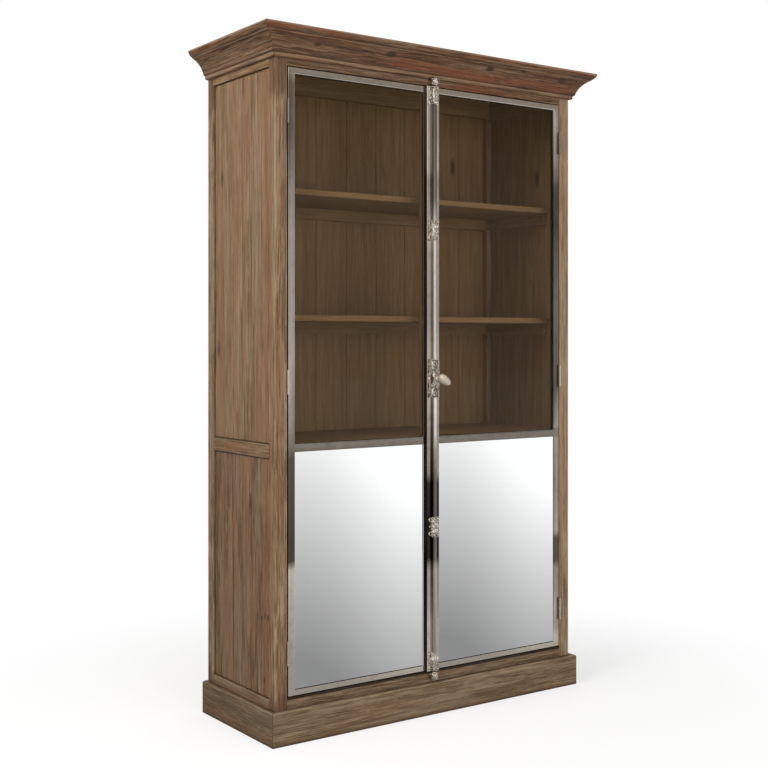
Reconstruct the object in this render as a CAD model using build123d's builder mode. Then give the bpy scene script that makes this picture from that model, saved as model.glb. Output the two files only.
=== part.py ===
from build123d import *
import os
from math import acos, cos, pi, radians, sin, tan

# An armoire of weathered pine with two metal-framed doors, clear glass above and mirror below.
# X runs to the right, the doors face -Y, Z is up, and the floor under the middle is the origin.

# Case, outside
CASE_WIDTH = 1260.0
CASE_DEPTH = 457.0
PLINTH_HEIGHT = 108.5
PLINTH_THICKNESS = 21.0
PLINTH_EDGE_RADIUS = 8.0
SILL_HEIGHT = 36.0
FRIEZE_HEIGHT = 22.5
CROWN_HEIGHT = 93.0
CROWN_OVERHANG = 75.0

# Crown profile, as steps out from the case and up from the crown's lower edge
BEAD_RADIUS = 6.0
BEAD_SEAT = 5.0
BEAD_TOP = 12.0
COVE_FOOT_OUT = 17.0
COVE_FOOT_UP = 15.0
COVE_HEAD_IN = 15.0
COVE_HEAD_DOWN = 24.0
COVE_SAGITTA = 7.7
LIP_STEP = 3.0
LIP_FILLET = 5.0
LIP_SAGITTA = 2.2

# Case, posts, rails and boards
POST_FACE = 45.0
POST_DEPTH = 38.0
POST_ARRIS = 2.0
RAIL_FOOT = 60.0
SIDE_RAIL_THICKNESS = 32.0
SIDE_TOP_RAIL_SHOW = 24.0
SIDE_BOTTOM_RAIL_SHOW = 27.5
SIDE_MID_RAIL_HEIGHT = 43.0
SIDE_MID_RAIL_DROP = 3.0
PANEL_RECESS = 8.0
PANEL_THICKNESS = 16.0
PANEL_TONGUE = 8.0
SIDE_BOARD_COUNT = 6
BACK_BOARD_COUNT = 9
BACK_BOARD_THICKNESS = 12.0
BACK_RAIL_THICKNESS = 25.0
BACK_RAIL_HEIGHT = 90.0
BOARD_VEE = 2.0
BOARD_GAP = 0.2
TENON_LENGTH = 12.0
TENON_THICKNESS = 11.0
TENON_SHOULDER = 6.0
FIT = 0.2
TONGUE_END_GAP = 0.5
TOP_BOARD_THICKNESS = 18.0

# Inside
FLOOR_THICKNESS = 18.0
DECK_THICKNESS = 20.0
DECK_SETBACK = 6.0
SHELF_THICKNESS = 20.0
SHELF_SETBACK = 78.0
SHELF_RISES = (412.0, 825.0)
SHELF_EDGE_RADIUS = 3.0
CLEAT_HEIGHT = 40.0
CLEAT_THICKNESS = 18.0
BEARER_HEIGHT = 30.0
CLEAT_SETBACK = 12.0
STOP_THICKNESS = 12.0
STOP_LAP = 12.0
STOP_HEIGHT = 30.0
STOP_GAP = 1.0

# Doors
DOOR_HEIGHT = 2000.0
DOOR_THICKNESS = 20.0
DOOR_GAP = 3.5
MEETING_GAP = 3.0
STILE_FACE = 25.0
RAIL_FACE = 20.0
MID_RAIL_FACE = 27.0
SLIM_STILE_FACE = 8.0
SLIM_REBATE = 4.0
REBATE = 8.0
FRAME_LIP = 3.0
SIGHT_EDGE = 0.8
LOWER_LIGHT_HEIGHT = 755.0
GLASS_THICKNESS = 5.0
MIRROR_THICKNESS = 4.0
MIRROR_BACKING = 3.0
PANE_GAP = 1.0
BEAD_INSET = 1.0

# Hinges
HINGE_FOOT_INSET = 138.0
HINGE_HEAD_INSET = 140.0
HINGE_HEIGHT = 76.0
KNUCKLE_DIAMETER = 9.0
KNUCKLE_GAP = 0.5
PIN_DIAMETER = 5.0
PIN_RUNNING_CLEARANCE = 0.05
PIN_SEAT_CLEARANCE = 0.02
PIN_HEAD_DIAMETER = 7.0
PIN_HEAD_HEIGHT = 2.5
LEAF_THICKNESS = 1.4
LEAF_DEPTH = 18.0
LEAF_FRONT_GAP = 0.4
BARREL_STANDOFF = 0.5
SCREW_DIAMETER = 3.0
SCREW_HEAD_DIAMETER = 5.4
SCREW_LENGTH = 16.0
SCREW_SPACING = 46.0
SCREW_CLEARANCE = 0.05

# Bolt on the right door
STRIP_MIDDLE = -12.0
STRIP_WIDTH = 52.0
STRIP_THICKNESS = 12.0
STRIP_EDGE = 1.5
ROD_DIAMETER = 14.0
ROD_STANDOFF = 1.0
ROD_CLEARANCE = 0.1
ROD_TIP_DROP = 1.0
ROD_NOSE_DIAMETER = 10.0
ROD_NOSE_LENGTH = 14.0
GUIDE_INNER_REACH = 506.5
GUIDE_END_INSET = 32.5
GUIDE_WIDTH = 50.0
GUIDE_HEIGHT = 62.0
GUIDE_PLATE = 3.0
GUIDE_CORNER = 9.0
SADDLE_HEIGHT = 46.0
SADDLE_WALL = 3.5
COLLAR_WALL = 5.0
COLLAR_HEIGHT = 6.0
LOBE_RADIUS = 5.5
LOBE_INSET = 6.5
BOLT_SCREW_DIAMETER = 3.0
BOLT_SCREW_HEAD = 5.0
BOLT_SCREW_HEAD_HEIGHT = 1.6
BOLT_SCREW_INSET = 7.0
BOLT_SCREW_GRIP = 8.0
BOLT_SCREW_CLEARANCE = 0.05

# Bolt case and its rack and pinion
BOX_WIDTH = 46.0
BOX_HEIGHT = 135.0
BOX_DEPTH = 26.0
BOX_WALL = 3.0
BOX_END_WALL = 10.5
BOX_SCREW_REACH = 13.0
BOX_SCREW_INSET = 7.0
BOX_CORNER = 12.0
BOX_EDGE = 4.0
BOSS_DIAMETER = 28.0
BOSS_HEIGHT = 2.0
GEAR_MODULE = 1.25
PINION_TEETH = 12
PINION_WIDTH = 8.0
PINION_ADDENDUM = 1.1
PINION_DEDENDUM = 1.3
RACK_ADDENDUM = 0.8
RACK_DEDENDUM = 1.5
TOOTH_THINNING = 0.3
PRESSURE_ANGLE = 20.0
RACK_BACK = 4.0
RACK_TEETH_TRAILING = 5
RACK_TEETH_LEADING = 2
RACK_SHOULDER = 8.0
RACK_SHOULDER_RISE = 26.0
SPINDLE_DIAMETER = 10.0
SPINDLE_CLEARANCE = 0.1
SPINDLE_BEARING = 7.0
SPINDLE_END_GAP = 1.0

# Knob
KNOB_ANGLE = -33.0
KNOB_LENGTH = 52.0
KNOB_DIAMETER = 28.0
KNOB_TIP_RADIUS = 8.0
KNOB_OFFSET = 19.0
KNOB_STANDOFF = 17.0
KNOB_NECK_DIAMETER = 15.0
KNOB_GAP = 0.5
KNOB_SOCKET_CLEARANCE = 0.02

# Ball keepers for the rod noses
KEEPER_BALL = 25.0
KEEPER_REACH = 12.5
KEEPER_NECK = 15.0
KEEPER_FOOT = 14.0
KEEPER_FLANGE = 20.0
KEEPER_FLANGE_THICKNESS = 3.0
KEEPER_BORE_CLEARANCE = 0.5
KEEPER_BORE_DEPTH = 11.0

# Planes and heights that follow from the sizes above
side = CASE_WIDTH / 2
front = (CROWN_OVERHANG - CASE_DEPTH) / 2
back = front + CASE_DEPTH
door_bottom = PLINTH_HEIGHT + SILL_HEIGHT + DOOR_GAP
door_top = door_bottom + DOOR_HEIGHT
crown_low = door_top + DOOR_GAP + FRIEZE_HEIGHT
height = crown_low + CROWN_HEIGHT
case_top = height - TOP_BOARD_THICKNESS
post_inner = side - POST_FACE
front_post_back = front + POST_DEPTH
back_post_front = back - POST_DEPTH
door_outer = post_inner - DOOR_GAP
door_back = front + DOOR_THICKNESS
front_rail_back = door_back + STOP_GAP
panel_outer = side - PANEL_RECESS
panel_inner = panel_outer - PANEL_THICKNESS
rail_inner = side - SIDE_RAIL_THICKNESS
back_wall = back - BACK_BOARD_THICKNESS
back_rail_front = back_wall - BACK_RAIL_THICKNESS
sill_top = door_bottom - DOOR_GAP
frieze_low = door_top + DOOR_GAP
mid_rail_low = door_bottom + RAIL_FACE + LOWER_LIGHT_HEIGHT
mid_rail_top = mid_rail_low + MID_RAIL_FACE
deck_top = mid_rail_top
side_mid_top = deck_top - SIDE_MID_RAIL_DROP
side_mid_low = side_mid_top - SIDE_MID_RAIL_HEIGHT
side_panel_low = PLINTH_HEIGHT + SIDE_BOTTOM_RAIL_SHOW
side_panel_top = crown_low - SIDE_TOP_RAIL_SHOW

strip_left = STRIP_MIDDLE - STRIP_WIDTH / 2
strip_right = STRIP_MIDDLE + STRIP_WIDTH / 2
strip_front = front - STRIP_THICKNESS
bolt_middle = (door_bottom + door_top) / 2
rod_radius = ROD_DIAMETER / 2
rod_y = strip_front - ROD_STANDOFF - rod_radius
box_front = strip_front - BOX_DEPTH
pitch_radius = GEAR_MODULE * PINION_TEETH / 2
tooth_pitch = pi * GEAR_MODULE
tooth_thickness = tooth_pitch / 2 - TOOTH_THINNING

pin_x = post_inner - DOOR_GAP / 2
pin_y = front - BARREL_STANDOFF - KNUCKLE_DIAMETER / 2
lowest_hinge = door_bottom + HINGE_FOOT_INSET
highest_hinge = door_top - HINGE_HEAD_INSET
hinge_heights = [lowest_hinge, (lowest_hinge + highest_hinge) / 2, highest_hinge]
guide_reaches = (GUIDE_INNER_REACH, DOOR_HEIGHT / 2 - GUIDE_END_INSET)
guide_heights = [bolt_middle + way * reach for reach in guide_reaches for way in (-1, 1)]

os.makedirs("parts", exist_ok=True)


def save(piece, name):
    """Label a finished piece and write it as one node."""
    piece.part.label = name
    export_step(piece.part, f"parts/{name}.step")


def block(low, high, mode=Mode.ADD):
    """Add or cut the box between two opposite corners."""
    corners = [sorted(pair) for pair in zip(low, high)]
    size = [b - a for a, b in corners]
    middle = tuple((a + b) / 2 for a, b in corners)
    with Locations(middle):
        Box(*size, mode=mode)


def upright(x, y, low, high, radius, mode=Mode.ADD):
    """Add or cut a vertical cylinder between two heights."""
    with Locations((x, y, (low + high) / 2)):
        Cylinder(radius, high - low, mode=mode)


def forward(x, z, near, far, radius, mode=Mode.ADD):
    """Add or cut a cylinder that lies along Y between two depths."""
    with Locations((x, (near + far) / 2, z)):
        Cylinder(radius, abs(far - near), rotation=(90, 0, 0), mode=mode)


# Cross rails between the posts, as (front face, back face, lower edge, upper edge)
frieze = (front, front_rail_back, frieze_low, case_top)
sill = (front, front_rail_back, RAIL_FOOT, sill_top)
back_upper = (back_rail_front, back_wall, case_top - BACK_RAIL_HEIGHT, case_top)
back_lower = (back_rail_front, back_wall, RAIL_FOOT, sill_top)


def tenon_span(rail, gap):
    """Give the depth and height range of a cross rail's tenon, grown by a gap."""
    near, far, low, high = rail
    middle = (near + far) / 2
    half = TENON_THICKNESS / 2 + gap
    return middle - half, middle + half, low + TENON_SHOULDER - gap, high - TENON_SHOULDER + gap


def cross_rail(rail):
    """Make a rail that runs between two posts, with a stub tenon at each end."""
    near, far, low, high = rail
    tenon_near, tenon_far, tenon_low, tenon_high = tenon_span(rail, 0)
    reach = post_inner + TENON_LENGTH - TONGUE_END_GAP
    with BuildPart() as piece:
        block((-post_inner, near, low), (post_inner, far, high))
        block((-reach, tenon_near, tenon_low), (reach, tenon_far, tenon_high))
    return piece


def hinge_holes(way):
    """Give the places of the screws in the post leaves of one side."""
    depth = front + LEAF_DEPTH / 2
    for middle in hinge_heights:
        for step in (-SCREW_SPACING / 2, SCREW_SPACING / 2):
            yield (way * post_inner, depth, middle + step)


def post(way, is_front):
    """Make one corner post, grooved for the side panel and mortised for its cross rails."""
    near = front if is_front else back_post_front
    far = near + POST_DEPTH
    groove_floor = far - PANEL_TONGUE if is_front else near + PANEL_TONGUE
    groove_mouth = far if is_front else near
    rails = (frieze, sill) if is_front else (back_upper, back_lower)
    with BuildPart() as piece:
        block((way * post_inner, near, 0), (way * side, far, case_top))
        outer_edge = edges().filter_by(Axis.Z).sort_by_distance((way * side, near if is_front else far, 0))
        fillet(outer_edge[0], POST_ARRIS)
        block(
            (way * panel_inner, groove_floor, RAIL_FOOT),
            (way * panel_outer, groove_mouth, case_top),
            mode=Mode.SUBTRACT,
        )
        for rail in rails:
            mortise_near, mortise_far, mortise_low, mortise_high = tenon_span(rail, FIT)
            block(
                (way * post_inner, mortise_near, mortise_low),
                (way * (post_inner + TENON_LENGTH), mortise_far, mortise_high),
                mode=Mode.SUBTRACT,
            )
        if is_front:
            for place in hinge_holes(way):
                with Locations(place):
                    Cylinder(
                        SCREW_DIAMETER / 2 + SCREW_CLEARANCE,
                        2 * SCREW_LENGTH,
                        rotation=(0, 90, 0),
                        mode=Mode.SUBTRACT,
                    )
        else:
            block(
                (way * post_inner, back_wall, RAIL_FOOT),
                (way * (post_inner + BACK_BOARD_THICKNESS), far, case_top),
                mode=Mode.SUBTRACT,
            )
    return piece


def side_rail(way, low, high, groove_below, groove_above):
    """Make a side rail with stub tenons in the posts' grooves and grooves for the boards."""
    tenon = PANEL_TONGUE - TONGUE_END_GAP
    with BuildPart() as piece:
        block((way * rail_inner, front_post_back, low), (way * side, back_post_front, high))
        block(
            (way * panel_inner, front_post_back - tenon, low),
            (way * panel_outer, back_post_front + tenon, high),
        )
        grooves = []
        if groove_below:
            grooves.append((low, low + PANEL_TONGUE))
        if groove_above:
            grooves.append((high - PANEL_TONGUE, high))
        for groove_low, groove_high in grooves:
            block(
                (way * panel_inner, front_post_back - PANEL_TONGUE, groove_low),
                (way * panel_outer, back_post_front + PANEL_TONGUE, groove_high),
                mode=Mode.SUBTRACT,
            )
    return piece


def side_boards(way, low, high):
    """Make the upright boards of one side panel, with a vee at each joint."""
    tongue = PANEL_TONGUE - TONGUE_END_GAP
    board = (back_post_front - front_post_back) / SIDE_BOARD_COUNT
    with BuildPart() as piece:
        for index in range(SIDE_BOARD_COUNT):
            near = front_post_back + index * board + BOARD_GAP / 2
            far = near + board - BOARD_GAP
            near -= tongue if index == 0 else 0
            far += tongue if index == SIDE_BOARD_COUNT - 1 else 0
            block((way * panel_inner, near, low - tongue), (way * panel_outer, far, high + tongue))
        outer_edges = edges().filter_by(Axis.Z).group_by(Axis.X)[-1 if way > 0 else 0]
        chamfer(outer_edges, BOARD_VEE)
    return piece


# Posts and rails of the case
for way, name in ((-1, "left"), (1, "right")):
    save(post(way, True), f"front_post_{name}")
    save(post(way, False), f"back_post_{name}")
    save(side_rail(way, side_panel_top, case_top, True, False), f"side_top_rail_{name}")
    save(side_rail(way, side_mid_low, side_mid_top, True, True), f"side_mid_rail_{name}")
    save(side_rail(way, RAIL_FOOT, side_panel_low, False, True), f"side_bottom_rail_{name}")
    save(side_boards(way, side_mid_top, side_panel_top), f"side_upper_boards_{name}")
    save(side_boards(way, side_panel_low, side_mid_low), f"side_lower_boards_{name}")

save(cross_rail(frieze), "front_top_rail")
save(cross_rail(sill), "front_bottom_rail")
save(cross_rail(back_upper), "back_top_rail")
save(cross_rail(back_lower), "back_bottom_rail")

# Back boards, lapped on the back rails between the posts' rebates
with BuildPart() as back_boards:
    half_span = post_inner + BACK_BOARD_THICKNESS - TONGUE_END_GAP
    board_width = 2 * half_span / BACK_BOARD_COUNT
    for index in range(BACK_BOARD_COUNT):
        left_edge = index * board_width - half_span + BOARD_GAP / 2
        right_edge = left_edge + board_width - BOARD_GAP
        block((left_edge, back_wall, RAIL_FOOT), (right_edge, back, case_top))
    inner_edges = back_boards.edges().filter_by(Axis.Z).group_by(Axis.Y)[0]
    chamfer(inner_edges, BOARD_VEE)
save(back_boards, "back_boards")

with BuildPart() as top_board:
    block((-side, front, case_top), (side, back, height))
save(top_board, "top_board")

# Boards inside the case, each as (name, top, thickness, front edge, side reach, back edge)
deck_boards = [
    ("floor_board", sill_top, FLOOR_THICKNESS, front_rail_back, rail_inner, back_rail_front),
    ("mid_deck", deck_top, DECK_THICKNESS, front_rail_back + DECK_SETBACK, rail_inner, back_wall),
]
for rise, name in zip(SHELF_RISES, ("lower_shelf", "upper_shelf")):
    shelf_front = front + SHELF_SETBACK
    deck_boards.append((name, deck_top + rise, SHELF_THICKNESS, shelf_front, panel_inner, back_wall))

for name, top, thickness, near, reach, far in deck_boards:
    wide_near = max(near, front_post_back + FIT)
    with BuildPart() as deck:
        block((-post_inner + FIT, near, top - thickness), (post_inner - FIT, far, top))
        block((-reach + FIT, wide_near, top - thickness), (reach - FIT, back_post_front - FIT, top))
        front_edges = deck.edges().filter_by(Axis.X).group_by(Axis.Y)[0]
        fillet(front_edges, SHELF_EDGE_RADIUS)
    save(deck, name)

# Cleats on the side walls and on the back wall, under the deck and the shelves
with BuildPart() as side_cleats:
    for name, top, thickness, near, reach, far in deck_boards[1:]:
        cleat_top = top - thickness
        cleat_near = max(near + CLEAT_SETBACK, front_post_back)
        for way in (-1, 1):
            block(
                (way * reach, cleat_near, cleat_top - CLEAT_HEIGHT),
                (way * (reach - CLEAT_THICKNESS), back_post_front, cleat_top),
            )
save(side_cleats, "side_cleats")

with BuildPart() as back_cleats:
    for name, top, thickness, near, reach, far in deck_boards[1:]:
        cleat_top = top - thickness
        block(
            (-post_inner + FIT, back_wall - CLEAT_THICKNESS, cleat_top - CLEAT_HEIGHT),
            (post_inner - FIT, back_wall, cleat_top),
        )
save(back_cleats, "back_cleats")

with BuildPart() as floor_bearers:
    bearer_top = sill_top - FLOOR_THICKNESS
    for way in (-1, 1):
        block(
            (way * rail_inner, front_post_back, bearer_top - BEARER_HEIGHT),
            (way * (rail_inner - CLEAT_THICKNESS), back_post_front, bearer_top),
        )
save(floor_bearers, "floor_bearers")

# Door stops, one on the back of the frieze and one on the floor board
with BuildPart() as door_stops:
    stop_back = front_rail_back + STOP_THICKNESS
    stop_low = door_top - STOP_LAP
    block((-post_inner, front_rail_back, stop_low), (post_inner, stop_back, stop_low + STOP_HEIGHT))
    block((-post_inner, front_rail_back, sill_top), (post_inner, stop_back, door_bottom + STOP_LAP))
save(door_stops, "door_stops")

# Plinth boards and crown mouldings, mitred at the two front corners
front_run = Plane(origin=(0, front, 0), x_dir=(0, -1, 0), z_dir=(-1, 0, 0))
side_run = Plane(origin=(side, back, 0), x_dir=(1, 0, 0), z_dir=(0, -1, 0))
right_mitre = Plane(origin=(side, front, 0), z_dir=(1, 1, 0))
left_mitre = Plane(origin=(-side, front, 0), z_dir=(-1, 1, 0))


def plinth_profile():
    """Draw the plinth board's section: a plain board with a rounded upper edge."""
    with BuildSketch(mode=Mode.PRIVATE) as profile:
        with Locations((PLINTH_THICKNESS / 2, PLINTH_HEIGHT / 2)):
            Rectangle(PLINTH_THICKNESS, PLINTH_HEIGHT)
        upper = profile.vertices().group_by(Axis.Y)[-1].sort_by(Axis.X)[-1]
        lower = profile.vertices().group_by(Axis.Y)[0].sort_by(Axis.X)[-1]
        fillet(upper, PLINTH_EDGE_RADIUS)
        fillet(lower, POST_ARRIS)
    return profile.sketch


def crown_profile():
    """Draw the crown's section: a bead, a cove and a rounded lip under a flat top."""
    bead_out = BEAD_SEAT + BEAD_RADIUS
    cove_foot = (COVE_FOOT_OUT, crown_low + COVE_FOOT_UP)
    cove_head = (CROWN_OVERHANG - COVE_HEAD_IN, height - COVE_HEAD_DOWN)
    lip_foot = (cove_head[0] + LIP_STEP, cove_head[1] + LIP_STEP)
    with BuildSketch(mode=Mode.PRIVATE) as profile:
        with BuildLine():
            Line((0, crown_low), (BEAD_SEAT, crown_low))
            RadiusArc((BEAD_SEAT, crown_low), (bead_out, crown_low + BEAD_RADIUS), -BEAD_RADIUS)
            Line((bead_out, crown_low + BEAD_RADIUS), (bead_out, crown_low + BEAD_TOP))
            Line((bead_out, crown_low + BEAD_TOP), cove_foot)
            SagittaArc(cove_foot, cove_head, COVE_SAGITTA)
            Line(cove_head, lip_foot)
            SagittaArc(lip_foot, (CROWN_OVERHANG, height - LIP_FILLET), -LIP_SAGITTA)
            Line((CROWN_OVERHANG, height - LIP_FILLET), (CROWN_OVERHANG, height))
            Line((CROWN_OVERHANG, height), (0, height))
            Line((0, height), (0, crown_low))
        make_face()
    return profile.sketch


def mitred_boards(profile, overhang, name):
    """Run one section round the front and both sides of the case, mitred at the corners."""
    with BuildPart() as front_piece:
        with BuildSketch(front_run):
            add(profile)
        extrude(amount=side + overhang, both=True)
        split(bisect_by=right_mitre, keep=Keep.BOTTOM)
        split(bisect_by=left_mitre, keep=Keep.BOTTOM)
    with BuildPart() as right_piece:
        with BuildSketch(side_run):
            add(profile)
        extrude(amount=CASE_DEPTH + overhang)
        split(bisect_by=right_mitre, keep=Keep.TOP)
    with BuildPart() as left_piece:
        mirror(right_piece.part, about=Plane.YZ)
    save(front_piece, f"{name}_front")
    save(right_piece, f"{name}_right")
    save(left_piece, f"{name}_left")


mitred_boards(plinth_profile(), PLINTH_THICKNESS, "plinth")
mitred_boards(crown_profile(), CROWN_OVERHANG, "crown")


class Door:
    """One door leaf: its edges, the faces of its two stiles, and the two lights between its rails."""

    def __init__(self, name, left, right, left_face, right_face, left_rebate, right_rebate):
        self.name = name
        self.left = left
        self.right = right
        self.sight_left = left + left_face
        self.sight_right = right - right_face
        self.left_rebate = left_rebate
        self.right_rebate = right_rebate
        self.upper_light = (mid_rail_top, door_top - RAIL_FACE)
        self.lower_light = (door_bottom + RAIL_FACE, mid_rail_low)

    def fill(self, light, near, far, gap, mode=Mode.ADD):
        """Add or cut the block that fills one light out to its rebates, less a gap."""
        block(
            (self.sight_left - self.left_rebate + gap, near, light[0] - REBATE + gap),
            (self.sight_right + self.right_rebate - gap, far, light[1] + REBATE - gap),
            mode=mode,
        )

    def open(self, light, near, far):
        """Cut the sight opening of one light."""
        block((self.sight_left, near, light[0]), (self.sight_right, far, light[1]), mode=Mode.SUBTRACT)

    def frame(self):
        """Make the welded frame: stiles, rails and a lip in front of each pane."""
        lip_back = front + FRAME_LIP
        with BuildPart() as piece:
            block((self.left, front, door_bottom), (self.right, door_back, door_top))
            for light in (self.upper_light, self.lower_light):
                self.open(light, front, door_back)
            sight_edges = piece.faces().sort_by(Axis.Y)[0].inner_wires().edges()
            chamfer(sight_edges, SIGHT_EDGE)
            for light in (self.upper_light, self.lower_light):
                self.fill(light, lip_back, door_back, 0, Mode.SUBTRACT)
        return piece

    def pane(self, light, near, thickness):
        """Make a pane or a backing board for one light."""
        with BuildPart() as piece:
            self.fill(light, near, near + thickness, PANE_GAP)
        return piece

    def glazing_beads(self):
        """Make the two bead rings that hold the panes from behind."""
        pane_front = front + FRAME_LIP
        behind_glass = pane_front + GLASS_THICKNESS
        behind_mirror = pane_front + MIRROR_THICKNESS + MIRROR_BACKING
        with BuildPart() as piece:
            for light, near in ((self.upper_light, behind_glass), (self.lower_light, behind_mirror)):
                self.fill(light, near, door_back - BEAD_INSET, FIT)
                self.open(light, near, door_back)
        return piece


left_door = Door(
    "left_door", -door_outer, strip_left - MEETING_GAP, STILE_FACE, SLIM_STILE_FACE, REBATE, SLIM_REBATE
)
right_door = Door("right_door", strip_left, door_outer, STRIP_WIDTH, STILE_FACE, REBATE, REBATE)

for door in (left_door, right_door):
    pane_front = front + FRAME_LIP
    save(door.frame(), f"{door.name}_frame")
    save(door.pane(door.upper_light, pane_front, GLASS_THICKNESS), f"{door.name}_glass")
    save(door.pane(door.lower_light, pane_front, MIRROR_THICKNESS), f"{door.name}_mirror")
    backing_front = pane_front + MIRROR_THICKNESS
    save(door.pane(door.lower_light, backing_front, MIRROR_BACKING), f"{door.name}_mirror_backing")
    save(door.glazing_beads(), f"{door.name}_glazing_beads")

# Hinges: the post leaf holds the outer two knuckles and the pin, the door leaf the middle one
knuckle_height = (HINGE_HEIGHT - 2 * KNUCKLE_GAP) / 3


def hinge_leaf(way, middle, on_post):
    """Add one hinge leaf with its knuckles to the piece being built."""
    plate_outer = post_inner if on_post else door_outer + LEAF_THICKNESS
    plate_inner = plate_outer - LEAF_THICKNESS
    plate_front = front - BARREL_STANDOFF + LEAF_FRONT_GAP
    low = middle - HINGE_HEIGHT / 2
    high = middle + HINGE_HEIGHT / 2
    block((way * plate_inner, plate_front, low), (way * plate_outer, front + LEAF_DEPTH, high))
    half_middle = knuckle_height / 2
    if on_post:
        spans = [(low, low + knuckle_height), (high - knuckle_height, high)]
        bore = PIN_DIAMETER / 2 + PIN_SEAT_CLEARANCE
    else:
        spans = [(middle - half_middle, middle + half_middle)]
        bore = PIN_DIAMETER / 2 + PIN_RUNNING_CLEARANCE
    for span_low, span_high in spans:
        block((way * plate_inner, pin_y, span_low), (way * plate_outer, plate_front, span_high))
        upright(way * pin_x, pin_y, span_low, span_high, KNUCKLE_DIAMETER / 2)
        upright(way * pin_x, pin_y, span_low, span_high, bore, Mode.SUBTRACT)


def screw_head_depth():
    """Give the depth of a countersunk screw head whose sides slope at 45 degrees."""
    return (SCREW_HEAD_DIAMETER - SCREW_DIAMETER) / 2


def countersunk_screw(way, place, gap, mode=Mode.ADD):
    """Add or cut a countersunk screw that points outwards into a post, grown by a gap."""
    x, y, z = place
    mouth = x - way * LEAF_THICKNESS
    tip = x + way * (SCREW_LENGTH - LEAF_THICKNESS)
    head = screw_head_depth()
    with Locations(Location((mouth + way * head / 2, y, z), (0, way * 90, 0))):
        Cone(SCREW_HEAD_DIAMETER / 2 + gap, SCREW_DIAMETER / 2 + gap, head, mode=mode)
    with Locations(Location(((mouth + way * head + tip) / 2, y, z), (0, 90, 0))):
        Cylinder(SCREW_DIAMETER / 2 + gap, abs(tip - mouth) - head, mode=mode)


with BuildPart() as post_leaves:
    for way in (-1, 1):
        for middle in hinge_heights:
            hinge_leaf(way, middle, True)
        for place in hinge_holes(way):
            countersunk_screw(way, place, SCREW_CLEARANCE, Mode.SUBTRACT)
save(post_leaves, "post_hinge_leaves")

with BuildPart() as hinge_screws:
    for way in (-1, 1):
        for place in hinge_holes(way):
            countersunk_screw(way, place, 0)
save(hinge_screws, "hinge_screws")

with BuildPart() as hinge_pins:
    for way in (-1, 1):
        for middle in hinge_heights:
            low = middle - HINGE_HEIGHT / 2
            high = middle + HINGE_HEIGHT / 2
            upright(way * pin_x, pin_y, low, high, PIN_DIAMETER / 2)
            upright(way * pin_x, pin_y, high, high + PIN_HEAD_HEIGHT, PIN_HEAD_DIAMETER / 2)
            upright(way * pin_x, pin_y, low - PIN_HEAD_HEIGHT, low, PIN_HEAD_DIAMETER / 2)
save(hinge_pins, "hinge_pins")

for way, door in ((-1, left_door), (1, right_door)):
    with BuildPart() as door_leaves:
        for middle in hinge_heights:
            hinge_leaf(way, middle, False)
    save(door_leaves, f"{door.name}_hinge_leaves")

# Screws of the bolt, as (x, z, seat of the head): beside the guides' saddles and in the case's corners
box_low = bolt_middle - BOX_HEIGHT / 2
box_high = bolt_middle + BOX_HEIGHT / 2
plate_front = strip_front - GUIDE_PLATE
guide_screw_reach = GUIDE_WIDTH / 2 - BOLT_SCREW_INSET
bolt_screw_places = []
for way in (-1, 1):
    for z in guide_heights:
        bolt_screw_places.append((STRIP_MIDDLE + way * guide_screw_reach, z, plate_front))
    for z in (box_low + BOX_SCREW_INSET, box_high - BOX_SCREW_INSET):
        bolt_screw_places.append((STRIP_MIDDLE + way * BOX_SCREW_REACH, z, box_front))


def cut_screw_holes():
    """Cut the bolt's screw holes in the piece being built."""
    for x, z, seat in bolt_screw_places:
        hole = BOLT_SCREW_DIAMETER / 2 + BOLT_SCREW_CLEARANCE
        forward(x, z, seat, strip_front + BOLT_SCREW_GRIP, hole, Mode.SUBTRACT)


# Meeting strip on the right door, with a blind bearing for the knob's spindle
with BuildPart() as meeting_strip:
    block((strip_left, strip_front, door_bottom), (strip_right, front, door_top))
    front_edges = meeting_strip.edges().filter_by(Axis.Z).group_by(Axis.Y)[0]
    chamfer(front_edges, STRIP_EDGE)
    forward(
        STRIP_MIDDLE,
        bolt_middle,
        strip_front,
        strip_front + SPINDLE_BEARING + SPINDLE_END_GAP,
        SPINDLE_DIAMETER / 2 + SPINDLE_CLEARANCE,
        Mode.SUBTRACT,
    )
    cut_screw_holes()
save(meeting_strip, "meeting_strip")

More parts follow.
